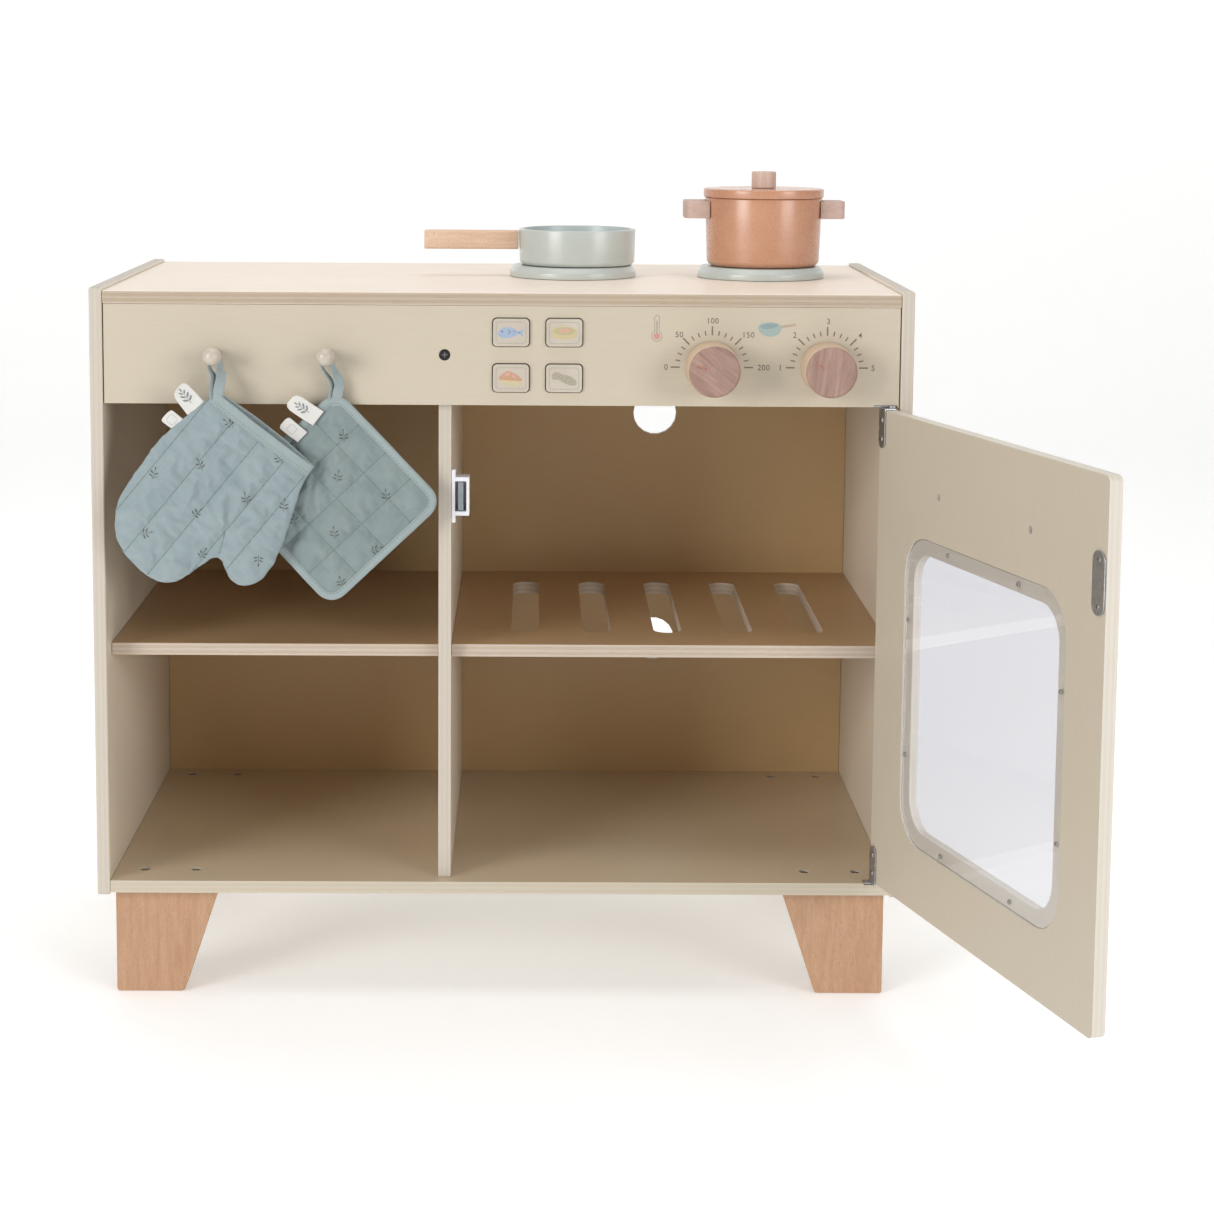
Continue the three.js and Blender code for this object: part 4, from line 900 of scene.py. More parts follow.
DMID = (-37.5 + 299.2) / 2
WZ = 260.9
PANE_Y = 9.6 - 3.3 + 0.3 + 2.2
k = 0
for dx, dz in ((-52.6, 110.7), (52.6, 110.7), (-52.6, -110.7), (52.6, -110.7), (-114.2, 51.2), (-114.2, -51.2), (114.2, 51.2), (114.2, -51.2)):
    k += 1
    place_screw(f"window_screw_{k}", SCREW_S, door_point(DMID + dx, PANE_Y + 0.02, WZ + dz), DYA, 0.4 * k, "door")
LEAF_Y = 9.6 + 0.3 + 1.0
for nm, zs in (("upper", (455.5, 441.2)), ("lower", (103.4, 117.8))):
    for j, z in enumerate(zs):
        place_screw(f"{nm}_hinge_screw_{j + 1}", SCREW_L, door_point(293.6, LEAF_Y + 0.01, z), DYA, 0.7 + j, "door")
for j, z in enumerate((393.2 + 15.2, 393.2 - 15.2)):
    place_screw(f"striker_screw_{j + 1}", SCREW_S, door_point(299.2 - 327.9, 9.6 + 0.3 + 0.8 + 0.01, z), DYA, 0.3 + j, "door", low=0.42)
# the cross of the black screw in the fascia, a lighter metal bar laid on the head: a painted glint
BLACK = plastic_material("screw_cross_dark", (0.012, 0.012, 0.012, 1), 0.6)
sx0, sx1, sy0, sy1, sz0, sz1 = mm("divider_screw")
scx, scz = (sx0 + sx1) / 2, (sz0 + sz1) / 2
PAINTED_GLINT_CROSS = metal_material("screw_head_painted_glint", (0.35, 0.35, 0.36, 1), 0.3)
prisms("divider_screw_cross", [bar(scx - 2.0, scz, scx + 2.0, scz, 0.7), bar(scx, scz - 2.0, scx, scz + 2.0, 0.7)], sy0, "cabinet", PAINTED_GLINT_CROSS, raise_mm=0.04)
# the crosses of the leg bolts, lighter than the dark heads: a painted glint
painted_glint_bolt_mat = metal_material("bolt_cross", (0.46, 0.44, 0.41, 1), 0.3)
for n in [q for q in NODES if "leg_bolt" in q]:
    x0, x1, y0, y1, z0, z1 = mm(n)
    bx, by = (x0 + x1) / 2, (y0 + y1) / 2
    spin = 0.4 + 0.9 * (len(n) % 5)
    verts, faces = [], []
    for a in (spin, spin + math.pi / 2):
        b0 = len(verts)
        ca, sa = math.cos(a), math.sin(a)
        for z in (z1 - 0.05, z1 + 0.06):
            for u, w in ((-2.3, -0.4), (2.3, -0.4), (2.3, 0.4), (-2.3, 0.4)):
                verts.append(V(bx + u * ca - w * sa, by + u * sa + w * ca, z + (0.01 if a > spin else 0)))
        faces += [tuple(b0 + i for i in q) for q in ((3, 2, 1, 0), (4, 5, 6, 7), (0, 1, 5, 4), (1, 2, 6, 5), (2, 3, 7, 6), (3, 0, 4, 7))]
    o = new_object(n + "_cross", verts, faces, painted_glint_bolt_mat, smooth=False)
    finish_piece(o, "cabinet")

# ------------------------------------------------------------------ soft pieces
ANIM_END = 20


def resample(points, step, closed=False):
    P = [np.array(p, float) for p in points]
    if closed:
        P.append(P[0])
    seg = [np.linalg.norm(b - a) for a, b in zip(P, P[1:])]
    total = sum(seg)
    n = max(2, int(round(total / step)))
    out, acc, i = [], 0.0, 0
    for k in range(n + (0 if closed else 1)):
        d = total * k / n
        while i < len(seg) - 1 and acc + seg[i] < d:
            acc += seg[i]
            i += 1
        t = 0 if seg[i] == 0 else min(1.0, (d - acc) / seg[i])
        out.append(tuple(P[i] + (P[i + 1] - P[i]) * t))
    return out


def inside(poly, x, z):
    c, n = False, len(poly)
    for i in range(n):
        x1, z1 = poly[i]
        x2, z2 = poly[i - 1]
        if (z1 > z) != (z2 > z) and x < (x2 - x1) * (z - z1) / (z2 - z1) + x1:
            c = not c
    return c


def clip_line(poly, p, d, inset=1.2):
    """The stretches of the line p + t d that lie inside poly."""
    p, d = np.array(p, float), np.array(d, float)
    d /= np.linalg.norm(d)
    ts = []
    n = len(poly)
    for i in range(n):
        a, b = np.array(poly[i - 1], float), np.array(poly[i], float)
        e = b - a
        den = d[0] * e[1] - d[1] * e[0]
        if abs(den) < 1e-12:
            continue
        w = a - p
        t = (w[0] * e[1] - w[1] * e[0]) / den
        s = (w[0] * d[1] - w[1] * d[0]) / den
        if 0 <= s < 1:
            ts.append(t)
    ts.sort()
    out = []
    for a, b in zip(ts, ts[1:]):
        m = p + d * (a + b) / 2
        if b - a > 8 and inside(poly, *m):
            out.append((tuple(p + d * (a + inset)), tuple(p + d * (b - inset))))
    return out


def quilt_mesh(outline, seams, step=2.7):
    """A flat triangulation of a panel with the seams as edges. Returns points, triangles, ids on the rim in order, and ids on seams."""
    rim = resample(outline, step, closed=True)
    pts = [tuple(p) for p in rim]
    nr = len(pts)
    edges = []
    seam_in = set()
    for s in seams:
        q = resample(s, 2.4)
        b = len(pts)
        pts += [tuple(p) for p in q]
        edges += [(b + i, b + i + 1) for i in range(len(q) - 1)]
        seam_in |= set(range(b, b + len(q)))
    fixed = np.array(pts)
    lo, hi = fixed.min(0), fixed.max(0)
    local = np.random.RandomState(11)
    row = 0
    z = lo[1]
    while z < hi[1]:
        x = lo[0] + (step / 2 if row % 2 else 0)
        while x < hi[0]:
            jx, jz = x + local.uniform(-0.35, 0.35), z + local.uniform(-0.35, 0.35)
            if inside(rim, jx, jz) and np.min(np.hypot(fixed[:, 0] - jx, fixed[:, 1] - jz)) > step * 0.56:
                pts.append((jx, jz))
            x += step
        z += step * 0.866
        row += 1
    res = mgeo.delaunay_2d_cdt([Vector(p) for p in pts], edges, [list(range(nr))], 1, 1e-4)
    vs, _, fs, ov = res[0], res[1], res[2], res[3]
    rim_ids, seam_ids = {}, set()
    for i, src in enumerate(ov):
        for s in src:
            if s < nr:
                rim_ids[s] = i
            if s in seam_in:
                seam_ids.add(i)
    # crossings of seams are new points with no source
    for i, src in enumerate(ov):
        if not src:
            seam_ids.add(i)
    return [tuple(v) for v in vs], [tuple(f) for f in fs], [rim_ids[i] for i in range(nr)], seam_ids


def rim_distance(points, outline):
    ol = np.array(resample(outline, 1.0, closed=True))
    P = np.array(points)
    out = np.zeros(len(P))
    for i, p in enumerate(P):
        out[i] = np.min(np.hypot(ol[:, 0] - p[0], ol[:, 1] - p[1]))
    return out


def inflate(name, verts, tris, pinned, pressure, cap, shrink, frames=ANIM_END, stiff=(12, 12, 4, 0.6)):
    """Blows the panel up with Blender's cloth, at ten times its size, and gives back the new points in mm."""
    me = bpy.data.meshes.new(name + "_sim")
    k = 0.01
    me.from_pydata([(v[0] * k, v[1] * k, v[2] * k) for v in verts], [], tris)
    o = bpy.data.objects.new(name + "_sim", me)
    SCENE.collection.objects.link(o)
    vg = o.vertex_groups.new(name="pin")
    for i, w in pinned.items():
        vg.add([i], w, "REPLACE")
    cm = o.modifiers.new("cloth", "CLOTH")
    s = cm.settings
    s.quality = 7
    s.mass = 0.3
    s.air_damping = 2.0
    s.tension_stiffness, s.compression_stiffness, s.shear_stiffness, s.bending_stiffness = stiff
    s.tension_damping = s.compression_damping = 8
    s.shear_damping = 6
    s.bending_damping = 0.5
    s.use_pressure = True
    s.uniform_pressure_force = pressure
    s.shrink_min = shrink
    s.shrink_max = shrink
    s.vertex_group_mass = "pin"
    s.effector_weights.gravity = 0.0
    cm.collision_settings.use_collision = False
    cm.collision_settings.use_self_collision = False
    cm.point_cache.frame_start = 1
    cm.point_cache.frame_end = frames
    SCENE.frame_start, SCENE.frame_end = 1, frames
    for f in range(1, frames + 1):
        SCENE.frame_set(f)
    dg = bpy.context.evaluated_depsgraph_get()
    ev = o.evaluated_get(dg)
    co = np.zeros(len(me.vertices) * 3)
    ev.data.vertices.foreach_get("co", co)
    co = co.reshape(-1, 3) / k
    base = np.array(verts, float)
    d = co - base
    ln = np.linalg.norm(d, axis=1)
    lim = np.minimum(1.0, cap / np.maximum(ln, 1e-9))
    bpy.data.objects.remove(o)
    SCENE.frame_set(1)
    return base + d * lim[:, None], float(ln.max())


def waves(x, z, seed):
    """Slow waves of a hanging pad, -1 to 1."""
    r = np.random.RandomState(seed)
    out = np.zeros_like(np.asarray(x, float))
    for _ in range(5):
        a, wl, ph = r.uniform(0, math.pi), r.uniform(55, 130), r.uniform(0, 6.28)
        out = out + np.sin((x * math.cos(a) + z * math.sin(a)) * 2 * math.pi / wl + ph) / 5
    return out


def surface_tree(o):
    bpy.context.view_layer.update()
    dg = bpy.context.evaluated_depsgraph_get()
    return BVHTree.FromObject(o, dg)


def front_hit(tree, x, z, from_front=True):
    """The surface point at a given X and Z, seen from the front (or the back), and its normal, in metres."""
    p = V(x, -90 if from_front else 60, z)
    hit, nrm, _, _ = tree.ray_cast(p, Vector((0, 1 if from_front else -1, 0)))
    if hit is None:
        return None, None
    if nrm.y > 0 and from_front or nrm.y < 0 and not from_front:
        nrm = -nrm
    return hit, nrm


def tube_mesh(bm_verts, bm_faces, pts, radius, sides=8, squash_n=None, taper=True):
    """Adds a closed capsule along pts (metres) to the lists."""
    n = len(pts)
    base = len(bm_verts)
    up = Vector((0, 1, 0))
    rings = []
    for i, p in enumerate(pts):
        a, b = pts[max(0, i - 1)], pts[min(n - 1, i + 1)]
        t = (b - a).normalized()
        s = t.cross(up)
        s = s.normalized() if s.length > 1e-6 else Vector((1, 0, 0))
        u = s.cross(t).normalized()
        k = 0.55 if taper and i in (0, n - 1) else 1.0
        rings.append(len(bm_verts))
        for j in range(sides):
            an = 2 * math.pi * j / sides
            bm_verts.append(p + (s * math.cos(an) + u * math.sin(an)) * radius * k)
    for i in range(n - 1):
        for j in range(sides):
            jj = (j + 1) % sides
            bm_faces.append((rings[i] + j, rings[i] + jj, rings[i + 1] + jj, rings[i + 1] + j))
    bm_faces.append(tuple(rings[0] + j for j in reversed(range(sides))))
    bm_faces.append(tuple(rings[-1] + j for j in range(sides)))


def stitches(name, tree, lines, body, mat, pitch=3.1, length=2.1, radius=0.20, lift=0.02, from_front=True):
    """Rows of thread lying in the seams: lines are (X, Z) polylines in mm."""
    verts, faces = [], []
    for ln in lines:
        q = resample(ln, pitch)
        for a, b in zip(q, q[1:]):
            a, b = np.array(a), np.array(b)
            d = (b - a) / (np.linalg.norm(b - a) + 1e-9)
            mid = (a + b) / 2
            pts = []
            ok = True
            for t in (-0.5, -0.25, 0.0, 0.25, 0.5):
                pt = mid + d * length * t
                hit, nrm = front_hit(tree, pt[0], pt[1], from_front)
                if hit is None:
                    ok = False
                    break
                dip = 0.14 * (abs(t) / 0.5) ** 2
                pts.append(hit + nrm * (lift - dip) / 1000)
            if ok:
                tube_mesh(verts, faces, pts, radius / 1000, 6)
    if not verts:
        return None
    o = new_object(name, verts, faces, mat)
    return finish_piece(o, body)


def projected(name, tree, polys, body, mat, lift=0.09, thick=0.08, fine=0.9, from_front=True):
    """Printed shapes that follow a soft surface: (X, Z) polygons in mm."""
    verts, faces = [], []
    for poly in polys:
        poly = resample(poly, fine, closed=True) if fine and len(poly) < 40 else poly
        top, bot = [], []
        ok = True
        for x, z in poly:
            hit, nrm = front_hit(tree, x, z, from_front)
            if hit is None:
                ok = False
                break
            top.append(hit + nrm * lift / 1000)
            bot.append(hit + nrm * (lift - thick) / 1000)
        if not ok:
            continue
        tris = mgeo.tessellate_polygon([[Vector((x, z, 0)) for x, z in poly]])
        n, b = len(poly), len(verts)
        verts += top + bot
        for t in tris:
            faces.append(tuple(b + i for i in t))
            faces.append(tuple(b + n + i for i in reversed(t)))
        for i in range(n):
            j = (i + 1) % n
            faces.append((b + i, b + n + i, b + n + j, b + j))
    if not verts:
        return None
    o = new_object(name, verts, faces, mat, smooth=False)
    return finish_piece(o, body)


def strip(name, stations, mat, body, smooth=True):
    """A closed band: stations are (centre, width direction with half width, thickness direction with half thickness), in metres."""
    shape = [(-1, -0.45), (-0.97, -0.85), (-0.88, -1), (-0.5, -1), (0, -1), (0.5, -1), (0.88, -1), (0.97, -0.85), (1, -0.45), (1, 0.45), (0.97, 0.85), (0.88, 1), (0.5, 1), (0, 1), (-0.5, 1), (-0.88, 1), (-0.97, 0.85), (-1, 0.45)]
    verts, faces = [], []
    m = len(shape)
    for c, w, t in stations:
        for a, b in shape:
            verts.append(c + w * a + t * b)
    for i in range(len(stations) - 1):
        for j in range(m):
            jj = (j + 1) % m
            faces.append((i * m + j, i * m + jj, (i + 1) * m + jj, (i + 1) * m + j))
    faces.append(tuple(reversed(range(m))))
    faces.append(tuple((len(stations) - 1) * m + j for j in range(m)))
    o = new_object(name, verts, faces, mat, smooth)
    return finish_piece(o, body)


def painted_seam_shade(name, tree, lines, body, mat, width=0.8):
    """A narrow dark strip of cloth along each seam: painted shade where the quilting pulls the cloth in."""
    polys = []
    for ln in lines:
        q = [np.array(a) for a in resample(ln, 1.6)]
        left, right = [], []
        for i in range(len(q)):
            t = q[min(len(q) - 1, i + 1)] - q[max(0, i - 1)]
            t /= np.linalg.norm(t) + 1e-9
            nn = np.array([-t[1], t[0]])
            hw = width / 2 * (0.8 + 0.3 * math.sin(i * 1.9) * math.sin(i * 0.37 + 1)) * (0.4 if i in (0, len(q) - 1) else 1)
            left.append(tuple(q[i] + nn * hw))
            right.append(tuple(q[i] - nn * hw))
        # in short lengths, so that one missed point does not lose a whole line
        for i in range(0, len(q) - 1, 6):
            j = min(i + 6, len(q) - 1)
            polys.append(left[i:j + 1] + right[i:j + 1][::-1])
    return projected(name, tree, polys, body, mat, lift=0.05, thick=0.12, fine=0)


CLOTH_M = cloth_material("quilted_cotton_mitt", srgb("#8b999e"), srgb("#9ba8aa"), angle=0.88)
CLOTH_H = cloth_material("quilted_cotton_holder", srgb("#7f8d8e"), srgb("#909b98"), angle=0.81)
BAND_M = cloth_material("bound_cotton", srgb("#93a0a1"), srgb("#a0abaa"), angle=0.3, mottle=0.4)
THREAD = cloth_material("sewing_thread", srgb("#66736f"), srgb("#76817b"), angle=0.2, weave=0.6, mottle=0.5)
SEAM_T = cloth_material("seam_thread", srgb("#6b7878"), srgb("#778280"), angle=0.2, weave=0.6, mottle=0.5)
SPRIG = ink_material("sprig_print", srgb("#333e3e"), 0.85)
# darker cloth for the strips along the quilting seams: painted shade
SEAM_PAINTED_SHADE = cloth_material("seam_painted_shade", srgb("#6d7b79"), srgb("#7b8986"), angle=0.2, weave=0.6, mottle=0.6)
TAG_M = cloth_material("white_ribbon", srgb("#dcdad6"), srgb("#d2d0cb"), angle=0.75, weave=0.7, sheen=0.2)
TAG_INK = ink_material("tag_print", srgb("#6d7478"), 0.8)
TAG_LINE = ink_material("tag_line", srgb("#a9aeb0"), 0.8)

# --- the mitt
A_CUFF, B_CUFF = np.array([-212.3, 475.6]), np.array([-140.2, 419.6])
MITT_SIDE = [(-140.6, 419.2), (-148.8, 404.5), (-154.1, 388.6), (-164.8, 357.4), (-173.1, 341.4), (-182.2, 332.2), (-194.2, 329.1), (-203.9, 334.4), (-212.2, 350.4),
             (-226.3, 343.4), (-240.6, 333.4), (-253, 331.1), (-267, 337.1), (-283.0, 353.4), (-289.2, 368), (-289.4, 381.1), (-286.2, 395.5), (-277.0, 410.6), (-264.9, 428.0), (-252.8, 443.1), (-214.3, 475.4)]
side_pts = smooth_loop(MITT_SIDE, 8, closed=False)
MITT = [tuple(B_CUFF)] + side_pts[1:-1] + [tuple(A_CUFF)]
cu = (B_CUFF - A_CUFF) / np.linalg.norm(B_CUFF - A_CUFF)
QD = np.array([-0.638, -0.77])
L_CUFF = float(np.linalg.norm(B_CUFF - A_CUFF))
mitt_seams = []
for off in (-1.5, 22.9, 47.0, 71.0, 90.0):
    for a, b in clip_line(MITT, A_CUFF + cu * off, QD):
        mitt_seams.append([a, b])
# the short seam from the crotch of the thumb
CROTCH = np.array([-207.5, 370.0])
mitt_seams.append([(-211.6, 353.4), (-208.8, 362.0), (-206.0, 372.4)])


def line_distance(P, lines):
    """The distance of every point from the nearest of some polylines."""
    out = np.full(len(P), 1e9)
    for s in lines:
        q = np.array(resample(s, 1.2))
        for i in range(0, len(q), 4):
            out = np.minimum(out, np.min(np.hypot(P[:, None, 0] - q[None, i:i + 4, 0], P[:, None, 1] - q[None, i:i + 4, 1]), axis=1))
    return out


def fan(P, centre, heading, spread, count, reach, amp, seed):
    """Folds that run out from a point like the ribs of a fan, in mm."""
    d = P - np.array(centre)
    r = np.hypot(d[:, 0], d[:, 1])
    a = np.arctan2(d[:, 1], d[:, 0]) - heading
    a = (a + math.pi) % (2 * math.pi) - math.pi
    local_ = np.random.RandomState(seed)
    ph = local_.uniform(0, 6.28)
    win = np.clip(1 - (a / spread) ** 2, 0, 1)
    rise = 1 - np.exp(-r / 7.0)
    s_ = np.sin(a / spread * math.pi * count + ph + 0.35 * np.sin(r / 11.0))
    return amp * win * rise * np.exp(-(r / reach) ** 2) * (s_ - 0.35 * np.cos(2 * s_))


def pucker(P, lines, amp, wave=7.0, reach=6.0, seed=2):
    """The small gathers that a row of quilting leaves on both sides, in mm."""
    local_ = np.random.RandomState(seed)
    out = np.zeros(len(P))
    for ln in lines:
        a, b = np.array(ln[0]), np.array(ln[-1])
        u = (b - a) / (np.linalg.norm(b - a) + 1e-9)
        d = P - a
        t, s_ = d @ u, d @ np.array([-u[1], u[0]])
        ok = (t > -2) & (t < np.linalg.norm(b - a) + 2)
        ph = local_.uniform(0, 6.28, 3)
        wob = 1.6 * np.sin(t / 19.0 + ph[1]) + 1.0 * np.sin(t / 8.3 + ph[2])
        env = np.clip(np.abs(s_) / 2.0, 0, 1) * np.exp(-(s_ / reach) ** 2) * (0.55 + 0.45 * np.sin(t / 13.0 + ph[0]))
        out += np.where(ok, amp * env * np.cos((t + wob + np.where(s_ > 0, 1.8, 0)) * 2 * math.pi / wave), 0)
    return out


def ripple(P, seed, amp, wave=(9, 17), count=26, size=22):
    """Short creases scattered over the cloth, in mm."""
    local_ = np.random.RandomState(seed)
    lo_, hi_ = P.min(0), P.max(0)
    out = np.zeros(len(P))
    for _ in range(count):
        c = local_.uniform(lo_, hi_)
        t = local_.uniform(0, math.pi)
        u = np.array([math.cos(t), math.sin(t)])
        w = local_.uniform(*wave)
        L = local_.uniform(0.5, 1.0) * size
        d = P - c
        along, side_ = d @ u, d @ np.array([-u[1], u[0]])
        bow = side_ + 0.012 * along ** 2 * local_.choice([-1, 1])
        out += amp * local_.uniform(0.4, 1.0) * np.cos(bow / w * 2 * math.pi) * np.exp(-(along / L) ** 2 - (side_ / (w * 0.9)) ** 2)
    return out


def build_mitt():
    pts, tris, rim, seam = quilt_mesh(MITT, mitt_seams)
    P = np.array(pts)
    dist = rim_distance(P, MITT)
    # the cuff stays open: its rim points are not joined front to back
    ring = set(rim)
    on_cuff = {i for i in rim if abs(np.cross(cu, P[i] - A_CUFF)) < 0.6 and -0.5 < (P[i] - A_CUFF) @ cu < L_CUFF + 0.5}
    ends = {min(on_cuff, key=lambda i: (P[i] - A_CUFF) @ cu), max(on_cuff, key=lambda i: (P[i] - A_CUFF) @ cu)}
    on_cuff -= ends
    t_cuff = np.clip((P - A_CUFF) @ cu / L_CUFF, 0, 1)
    up = np.clip(1 - np.abs((P - A_CUFF) @ np.array([-cu[1], cu[0]])) / 45.0, 0, 1)
    # a hand-shaped hollow: deepest in the palm, and held open at the cuff
    side_d = np.array([min(d_, 60) for d_ in dist])
    ol = np.array(resample(side_pts, 1.0))
    sd = np.array([np.min(np.hypot(ol[:, 0] - p[0], ol[:, 1] - p[1])) for p in P])
    depth = 1.0 - np.exp(-sd / 9.5)
    depth = depth * (0.62 + 0.38 * np.clip(sd / 34, 0, 1))
    mid = -18.9
    sway = 0.8 * waves(P[:, 0], P[:, 1], 5)
    near = line_distance(P, mitt_seams)
    tuck = 1.7 * np.exp(-(near / 3.4) ** 2)
    folds = fan(P, CROTCH, 1.15, 1.25, 3.6, 42, 3.0, 4) + ripple(P, 8, 1.3) + pucker(P, mitt_seams, 0.9)
    f = mid - 5.6 * depth + sway + (tuck + folds * (0.25 + 0.75 * np.clip(near / 5, 0, 1))) * depth
    b = mid + 4.6 * depth + sway - tuck * depth
    verts = []
    back_id = {}
    for i, (x, z) in enumerate(P):
        joined = i in ring and i not in on_cuff
        verts.append((x, mid + sway[i] if joined else f[i], z))
    for i, (x, z) in enumerate(P):
        if i in ring and i not in on_cuff:
            back_id[i] = i
        else:
            back_id[i] = len(verts)
            bulge = 2.4 * math.sin(math.pi * t_cuff[i]) ** 0.8 * up[i] ** 2
            verts.append((x - cu[1] * bulge, b[i], z + cu[0] * bulge))
    faces = []
    for t in tris:
        a, c, d = [Vector((P[i][0], P[i][1], 0)) for i in t]
        ccw = (c - a).cross(d - a).z > 0
        # seen from the front (looking along +Y), X right and Z up: outward is -Y
        tf = t if ccw else tuple(reversed(t))
        faces.append(tuple(tf))
        faces.append(tuple(back_id[i] for i in reversed(tf)))
    pinned = {}
    for i in range(len(P)):
        if i in ring:
            pinned[i] = 1.0
            pinned[back_id[i]] = 1.0
        elif i in seam:
            pinned[i] = 1.0
            pinned[back_id[i]] = 1.0
    co, mx = inflate("mitt", verts, faces, pinned, 3.0, 4.2, -0.075, stiff=(12, 12, 4, 0.3))
    print("mitt moved", round(mx, 2), "mm before the cap", len(verts), "points")
    co[:, 1] = np.maximum(co[:, 1], -30.5)
    # under the hem band the cloth lies flat
    dc = np.abs((P - A_CUFF) @ np.array([-cu[1], cu[0]]))
    smooth_f = mid - 5.6 * depth + sway
    smooth_b = mid + 4.6 * depth + sway
    slack = 0.25 + 6.0 * np.clip((dc - 8.5) / 9.0, 0, 1)
    for i in range(len(P)):
        co[i][1] = max(co[i][1], smooth_f[i] - slack[i])
        if back_id[i] != i:
            co[back_id[i]][1] = min(co[back_id[i]][1], smooth_b[i] + slack[i])
    o = new_object("oven_mitt_quilted", [V(*c) for c in co], faces, CLOTH_M)
    bm = bmesh.new()
    bm.from_mesh(o.data)
    bmesh.ops.recalc_face_normals(bm, faces=bm.faces)
    # outward on the front face means towards -Y
    front = min(bm.faces, key=lambda q: q.calc_center_median().y)
    if front.normal.y > 0:
        bmesh.ops.reverse_faces(bm, faces=bm.faces)
    bm.to_mesh(o.data)
    bm.free()
    sub = o.modifiers.new("sub", "SUBSURF")
    sub.levels = sub.render_levels = 1
    so = o.modifiers.new("lining", "SOLIDIFY")
    so.thickness = 0.0012
    so.offset = -1
    finish_piece(o, "mitt", ("oven_mitt",))
    return o


mitt = build_mitt()
mitt_tree = surface_tree(mitt)
inner_rim = []
_side = [np.array(p) for p in side_pts]
cen_m = np.array([-220.0, 395.0])
stitches("mitt_quilt_stitching", mitt_tree, mitt_seams, "mitt", SEAM_T)
# a dark strip along each seam of the mitt: painted shade
painted_seam_shade("mitt_quilt_painted_seam_shade", mitt_tree, mitt_seams, "mitt", SEAM_PAINTED_SHADE)


def ray_y(tree, x, z, fallback, front=True):
    hit, _ = front_hit(tree, x, z, front)
    return fallback if hit is None else (hit.y - Y0) * 1000


# hem bands round the cuff, one on each layer
un = np.array([-cu[1], cu[0]])      # away from the hand, in the X-Z plane
BANDS = {}
for nm, front in (("front", True), ("back", False)):
    st = []
    ys = []
    N = 44
    for k in range(N + 1):
        t = k / N
        bul = 0.0 if front else 2.4 * math.sin(math.pi * t) ** 0.8
        p = A_CUFF + cu * (L_CUFF * t) + un * bul
        q = p - un * 4.6
        y_at = ray_y(mitt_tree, *(q - un * 3.0), -24.0 if front else -13.0, front)
        ys.append(y_at)
    ys = np.convolve(np.pad(ys, 3, mode="edge"), np.ones(7) / 7, mode="valid")
    for k in range(N + 1):
        t = k / N
        bul = 0.0 if front else 2.4 * math.sin(math.pi * t) ** 0.8
        e = A_CUFF + cu * (L_CUFF * t) + un * (bul + 0.6)
        wob = 0.25 * math.sin(k * 1.7) + 0.2 * math.sin(k * 0.63 + 1)
        half = 4.7
        c = e - un * half
        y = ys[k] + (0.1 if front else -0.3) + wob * 0.3
        if front:
            y = max(y, -28.5)
        edge_in = 0.35 if k in (0, N) else 1.0
        st.append((V(c[0], y, c[1]), Vector((un[0], 0, un[1])) * (half / 1000), Vector((0.0, 1, 0)) * (1.25 * edge_in / 1000)))
    BANDS[nm] = strip(f"mitt_hem_{nm}", st, BAND_M, "mitt")
hem_tree = surface_tree(BANDS["front"])
rows = []
for inset_ in (7.6, 5.6):
    rows.append([tuple(A_CUFF + cu * 2.5 - un * inset_), tuple(B_CUFF - cu * 2.0 - un * inset_)])
stitches("mitt_hem_stitching", hem_tree, rows, "mitt", THREAD, pitch=2.6, length=1.9, radius=0.19)

# a path moved sideways by a distance d
def offset_path(points, d):
    P_ = [np.array(p) for p in points]
    out = []
    for i in range(len(P_)):
        a, b = P_[max(0, i - 1)], P_[min(len(P_) - 1, i + 1)]
        t = (b - a) / (np.linalg.norm(b - a) + 1e-9)
        nrm = np.array([-t[1], t[0]])
        out.append(tuple(P_[i] + nrm * d))
    return out


# --- the pot holder
HC = np.array([-126.6, 394.0])
HS, HR = 118.5, 14.0
ROT = math.radians(46.5)


def h_point(u, w):
    """u and w are along the holder's own two sides."""
    return HC + np.array([u * math.cos(ROT) + w * math.sin(ROT), -u * math.sin(ROT) + w * math.cos(ROT)])


HOLD = [tuple(h_point(u, w)) for u, w in rrect(0, 0, HS - 5.0, HS - 5.0, HR - 2.0, 8)]
hold_seams = []
d1 = h_point(1, 0) - h_point(0, 0)
d2 = h_point(0, 1) - h_point(0, 0)
for off in (-27.0, 2.0, 30.0):
    for a, b in clip_line(HOLD, h_point(0, off), d1):
        hold_seams.append([a, b])
for off in (-27.6, 1.5, 28.6):
    for a, b in clip_line(HOLD, h_point(off, 0), d2):
        hold_seams.append([a, b])


def holder_mid(x, z):
    """The middle of the pad: it waves, and its left corner is pushed back a little where the mitt leans on it."""
    x, z = np.asarray(x, float), np.asarray(z, float)
    return -5.6 + 1.5 * waves(x, z, 21) + 5.5 * np.clip((-140 - x) / 55, 0, 1) ** 1.6


